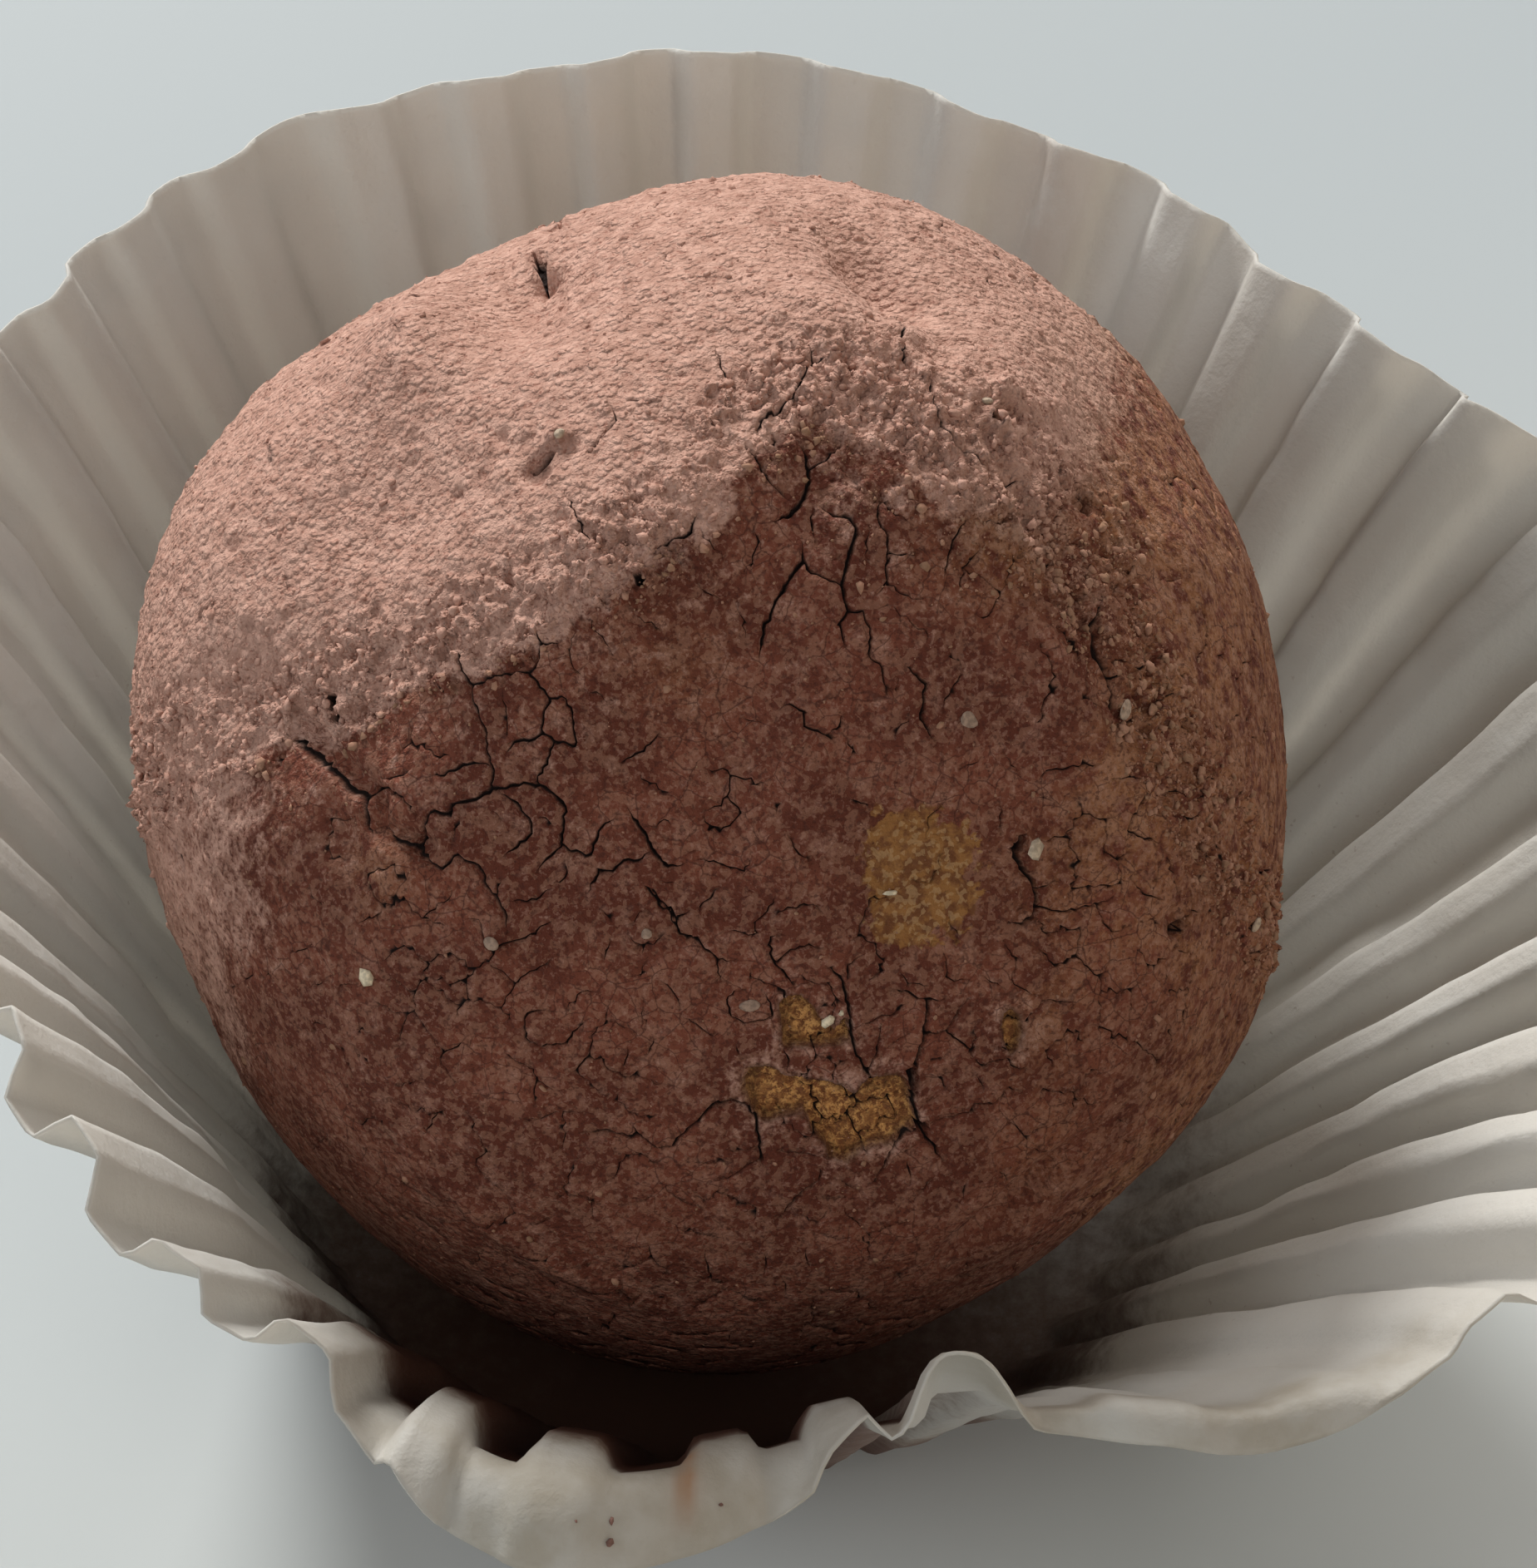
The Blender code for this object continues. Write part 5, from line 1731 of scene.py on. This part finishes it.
def crust_material():
    """Bare crust with its flakes and hair cracks, powder, sand, chips and cracks on top."""
    s = Shader("cocoa crust")
    dust, ochre = s.attribute("dust"), s.attribute("ochre")
    crack, chip = s.attribute("crack"), s.attribute("chip")
    blotch, speck = s.noise(2.2, 3.0, 0.6), s.noise(0.15, 2.0, 0.7)
    patch, coarse = s.noise(0.55, 3.0, 0.65), s.noise(0.34, 3.0, 0.6)
    bent, bent_small = s.bend(0.34, 0.20), s.bend(0.15, 0.10)

    crust = s.mix(s.ramp(blotch, 0.40, 0.60), CRUST_DARK, CRUST_MID)
    crust = s.mix(s.times(ochre, s.ramp(patch, 0.35, 0.6)), crust, CRUST_OCHRE)
    plate = s.cell_tone(s.cells(0.70, bent))
    crust = s.mix(s.ramp(plate, 0.1, 0.9, 0.0, 0.20), crust, CRUST_DARK)
    crust = s.mix(s.ramp(patch, 0.52, 0.66, 0.0, 0.26), crust, DUST_MID)
    lean = s.swing(patch, 0.9)
    flakes = s.math("ADD", s.cell_tone(s.cells(0.21, bent_small)), lean)
    small = s.math("ADD", s.cell_tone(s.cells(0.11, bent_small)), lean)
    small = s.ramp(small, 0.70, 0.78)
    flakes = s.math("MAXIMUM", s.ramp(flakes, 0.66, 0.74), s.times(small, 0.8))
    crust = s.mix(s.times(flakes, 0.32), crust, CRUST_TAN)
    crust = s.mix(s.ramp(speck, 0.56, 0.68, 0.0, 0.35), crust, DUST_MID)
    crust = s.mix(s.ramp(speck, 0.46, 0.34, 0.0, 0.60), crust, CRUST_DEEP)

    powder = s.mix(s.ramp(patch, 0.35, 0.65), DUST_MID, DUST_LIGHT)
    powder = s.mix(s.ramp(speck, 0.46, 0.32, 0.0, 0.50), powder, CRUST_MID)
    powder = s.mix(s.times(ochre, 0.6), powder, DUST_TAN)
    cover = s.math("ADD", s.math("ADD", dust, s.swing(speck, 0.9)), s.swing(patch, 1.1))
    colour = s.mix(s.ramp(cover, 0.20, 0.85), crust, powder)

    hair = s.times(s.lines(0.70, 0.026, bent), s.ramp(blotch, 0.44, 0.60, 0.06, 1.0))
    finer = s.times(s.lines(0.37, 0.018, bent_small), s.ramp(patch, 0.52, 0.64, 0.0, 0.6))
    hair = s.times(s.math("MAXIMUM", hair, finer), s.ramp(dust, 0.80, 0.30, 0.08, 1.0))
    hair = s.times(hair, s.ramp(chip, 0.5, 0.1))
    colour = s.mix(s.times(hair, 0.70), colour, HAIR_COLOUR)

    sand = s.math("ADD", s.attribute("sand"), s.swing(speck, 1.4))
    sand_colour = s.mix(s.ramp(coarse, 0.38, 0.60), SAND_DARK, SAND_COLOUR)
    sand_colour = s.mix(s.times(small, 0.45), sand_colour, SAND_PALE)
    colour = s.mix(s.times(s.ramp(sand, 0.30, 0.75), 0.9), colour, sand_colour)

    chip_colour = s.mix(s.ramp(speck, 0.40, 0.60), CHIP_DARK, CHIP_COLOUR)
    chip_colour = s.mix(s.ramp(coarse, 0.56, 0.40, 0.0, 0.75), chip_colour, CHIP_DARK)
    colour = s.mix(s.times(chip, s.ramp(speck, 0.30, 0.5, 0.75, 1.0)), colour, chip_colour)
    # Painted shadow on chip floors along their edges and below their upper left sides.
    colour = s.mix(s.times(s.attribute("chip_edge_shadow"), 0.62), colour, CHIP_SHADOW)
    # Cracks and holes darkened towards black: painted shade in their depths.
    s.set("Base Color", s.mix(s.ramp(crack, 0.15, 0.75), colour, CRACK_PAINTED_SHADE))
    s.set("Roughness", 0.92)
    s.set("Specular IOR Level", 0.20)

    crumbs = s.times(s.crumbs(0.22, bent_small), s.ramp(dust, 0.15, 0.9, 0.5, 1.4))
    height = s.math("ADD", s.math("ADD", s.times(speck, 1.3), crumbs), s.times(speck, chip))
    s.set("Normal", s.bump(height, 0.075))
    return s.material


def grain_material():
    """Loose cocoa, darker where it lies on bare crust."""
    s = Shader("loose cocoa")
    colour = s.mix(s.ramp(s.noise(0.5, 3.0), 0.35, 0.65), DUST_MID, DUST_LIGHT)
    colour = s.mix(s.ramp(s.noise(0.12, 2.0), 0.55, 0.75, 0.0, 0.5), colour, CRUST_MID)
    bare = s.mix(s.ramp(s.noise(0.4, 2.0), 0.4, 0.6), DUST_TAN, CRUST_TAN)
    colour = s.mix(s.ramp(s.attribute("dust"), 0.2, 0.8), bare, colour)
    s.set("Base Color", colour)
    s.set("Roughness", 0.95)
    s.set("Specular IOR Level", 0.2)
    s.set("Normal", s.bump(s.noise(0.05, 2.0), 0.02))
    return s.material


FLECK_DARK = (0.26, 0.135, 0.105)
FLECK_PALE = (0.93, 0.80, 0.58)


def fleck_material(paleness):
    """A fleck from cocoa brown, 0, to cream, 1."""
    s = Shader("pale fleck")
    colour = tuple(low + (high - low) * paleness for low, high in zip(FLECK_DARK, FLECK_PALE))
    dusty = tuple(0.6 * part for part in colour)
    s.set("Base Color", s.mix(s.ramp(s.noise(0.12, 3.0), 0.35, 0.7), dusty, colour))
    s.set("Roughness", 0.8)
    s.set("Normal", s.bump(s.noise(0.06, 2.0), 0.02))
    return s.material


PAPER_LIGHT = (0.77, 0.77, 0.75)
PAPER_WARM = (0.71, 0.67, 0.61)
PAPER_PAINTED_SHADE = (0.48, 0.435, 0.36)
PAPER_FIBRE = (0.45, 0.40, 0.34)
PAPER_CRUMB = (0.20, 0.10, 0.07)
PAPER_STAIN = (0.42, 0.22, 0.11)
PAPER_DUSTED_AND_SHADED = (0.36, 0.265, 0.20)
PAPER_COCOA_AND_SHADE = (0.125, 0.060, 0.042)
PAPER_GLOW = (0.74, 0.70, 0.64, 1.0)


def paper_material():
    """Thin fibrous paper that lets light through, with stains, crumbs, cocoa that is partly
    painted shade, and painted shade.
    """
    s = Shader("pleated paper")
    ring, painted_shade, cocoa_and_shade = s.attribute("ring"), s.attribute("painted_shade"), s.attribute("cocoa")
    colour = s.mix(s.ramp(s.noise(6.0, 3.0), 0.35, 0.65, 0.0, 0.35), PAPER_LIGHT, PAPER_WARM)
    colour = s.mix(s.ramp(ring, 0.75, 0.05, 0.0, 0.55), colour, PAPER_WARM)
    shade = s.ramp(s.noise(2.5, 4.0, 0.6), 0.35, 0.65, 0.55, 1.0)
    # Painted shade on the flap and the turned rim, uneven by a noise.
    colour = s.mix(s.times(painted_shade, shade), colour, PAPER_PAINTED_SHADE)
    fibres = s.ramp(s.noise(0.35, 3.0, 0.7), 0.60, 0.80, 0.0, 0.18)
    colour = s.mix(fibres, colour, PAPER_FIBRE)
    crumbs = s.times(s.ramp(s.noise(0.22), 0.70, 0.76), s.ramp(ring, 0.9, 0.1, 0.1, 1.0))
    colour = s.mix(s.times(crumbs, 0.6), colour, PAPER_CRUMB)
    stained = s.times(s.attribute("stain"), s.ramp(s.noise(1.2, 3.0), 0.30, 0.5, 0.5, 1.0))
    colour = s.mix(stained, colour, PAPER_STAIN)
    # Cocoa on the paper, darkened so far that it is partly painted shade in the gap under the
    # truffle.
    cocoa = s.math("ADD", cocoa_and_shade, s.swing(s.noise(0.5, 4.0, 0.75), 0.45))
    cocoa = s.times(s.ramp(cocoa, 0.12, 0.78), s.ramp(cocoa_and_shade, 0.0, 0.1))
    colour = s.mix(s.ramp(cocoa, 0.0, 0.5, 0.0, 0.75), colour, PAPER_DUSTED_AND_SHADED)
    s.set("Base Color", s.mix(cocoa, colour, PAPER_COCOA_AND_SHADE))
    s.set("Roughness", 0.55)
    s.set("Specular IOR Level", 0.3)
    normal = s.bump(s.noise(0.4, 3.0, 0.65), 0.045)
    s.set("Normal", normal)
    glow = s.node("BsdfTranslucent", {"Color": PAPER_GLOW, "Normal": normal})
    # Less light passes through where cocoa and painted shade lie.
    through = s.times(s.ramp(cocoa, 0.0, 0.8, 0.42, 0.05), s.ramp(painted_shade, 0.0, 1.0, 1.0, 0.5))
    blend = s.node("MixShader", {0: through, 1: s.principled.outputs[0], 2: glow.outputs[0]})
    s.put(s.output.inputs["Surface"], blend.outputs[0])
    return s.material


# Floor colours with painted light: darker at the back left where the lamps fall, lighter at
# the front right in the case's shadow.
FLOOR_BACK_PAINTED_SHADE = (0.375, 0.42, 0.445)
FLOOR_FRONT_PAINTED_LIGHT = (0.72, 0.75, 0.74)


def floor_material():
    """A pale floor with painted light: darker towards the back left, lighter towards the
    front right where the case's shadow falls.
    """
    s = Shader("pale floor")
    place = s.node("SeparateXYZ", {0: s.coordinate})
    along = s.math("SUBTRACT", s.times(place.outputs["X"], 0.4), place.outputs["Y"])
    s.set("Base Color", s.mix(s.ramp(along, -0.035, 0.050), FLOOR_BACK_PAINTED_SHADE, FLOOR_FRONT_PAINTED_LIGHT))
    s.set("Roughness", 0.6)
    return s.material


# ---------------------------------------------------------------- stage

LAMP_DISTANCE = 1500.0

# Lamps: name, azimuth, elevation, size in mm, power in watts, colour.
LAMPS = (
    ("window", 109.0, 30.0, 480.0, 26.0, (1.0, 0.99, 0.955)),
    ("back window", 72.0, 38.0, 900.0, 8.6, (1.0, 0.95, 0.90)),
    ("left fill", 190.0, 30.0, 1000.0, 7.2, (0.97, 0.99, 1.0)),
    ("front fill", 282.0, 44.0, 1200.0, 5.4, (0.98, 0.98, 0.95)),
    ("right fill", 332.0, 16.0, 1000.0, 3.2, (1.0, 0.76, 0.55)),
)
SKY_COLOUR = (1.0, 0.96, 0.93)
SKY_STRENGTH = 0.03
FLOOR_HALF = 900.0
CLIP_START, CLIP_END = 10.0, 3000.0


def aimed(direction):
    """Rotation of a lamp or camera that looks back along a direction."""
    return Vector(direction).to_track_quat("Z", "Y")


def make_stage():
    """The floor, the lamps and a faint even light from all round."""
    corners = np.array(((-1, -1, 0), (1, -1, 0), (1, 1, 0), (-1, 1, 0))) * FLOOR_HALF
    floor = add_piece("floor", corners, np.array(((0, 1, 2), (0, 2, 3))), None, smooth=False)
    floor.data.materials.append(floor_material())

    for name, azimuth, elevation, size, power, colour in LAMPS:
        lamp = bpy.data.lights.new(name, "AREA")
        lamp.shape = "DISK"
        lamp.size = size * MM
        lamp.energy = power
        lamp.color = colour
        light = bpy.data.objects.new(name, lamp)
        direction = from_angles(azimuth, elevation)
        light.location = (TRUFFLE_CENTRE + direction * LAMP_DISTANCE) * MM
        light.rotation_mode = "QUATERNION"
        light.rotation_quaternion = aimed(direction)
        bpy.context.scene.collection.objects.link(light)

    world = bpy.data.worlds.new("room")
    world.use_nodes = True
    sky = world.node_tree.nodes["Background"]
    sky.inputs["Color"].default_value = (*SKY_COLOUR, 1.0)
    sky.inputs["Strength"].default_value = SKY_STRENGTH
    bpy.context.scene.world = world


def make_camera():
    """The camera at the photo's place, with the photo's framing."""
    lens = bpy.data.cameras.new("camera")
    lens.sensor_width = SENSOR_SIZE
    lens.lens = FOCAL_PIXELS * SENSOR_SIZE / max(PHOTO_SIZE)
    lens.clip_start = CLIP_START * MM
    lens.clip_end = CLIP_END * MM
    camera = bpy.data.objects.new("camera", lens)
    camera.matrix_world = (Matrix.Translation(CAMERA_PLACE * MM)
                           @ aimed(TOWARD).to_matrix().to_4x4())
    bpy.context.scene.collection.objects.link(camera)
    bpy.context.scene.camera = camera


large_crumbs = PackedCrumbs(LARGE_CRUMB_SIZE)
small_crumbs = PackedCrumbs(SMALL_CRUMB_SIZE)
crust, crack_tree, crack_halves = make_crust()
crust.data.materials.append(crust_material())
cocoa = grain_material()
for piece in make_grains(crack_tree, crack_halves):
    piece.data.materials.append(cocoa)
for piece, paleness in make_flecks():
    piece.data.materials.append(fleck_material(paleness))
case = make_case()
case.data.materials.append(paper_material())
make_paper_specks(case).data.materials.append(fleck_material(0.0))
make_stage()
make_camera()
bpy.context.scene.view_settings.view_transform = "Standard"

bpy.context.view_layer.update()
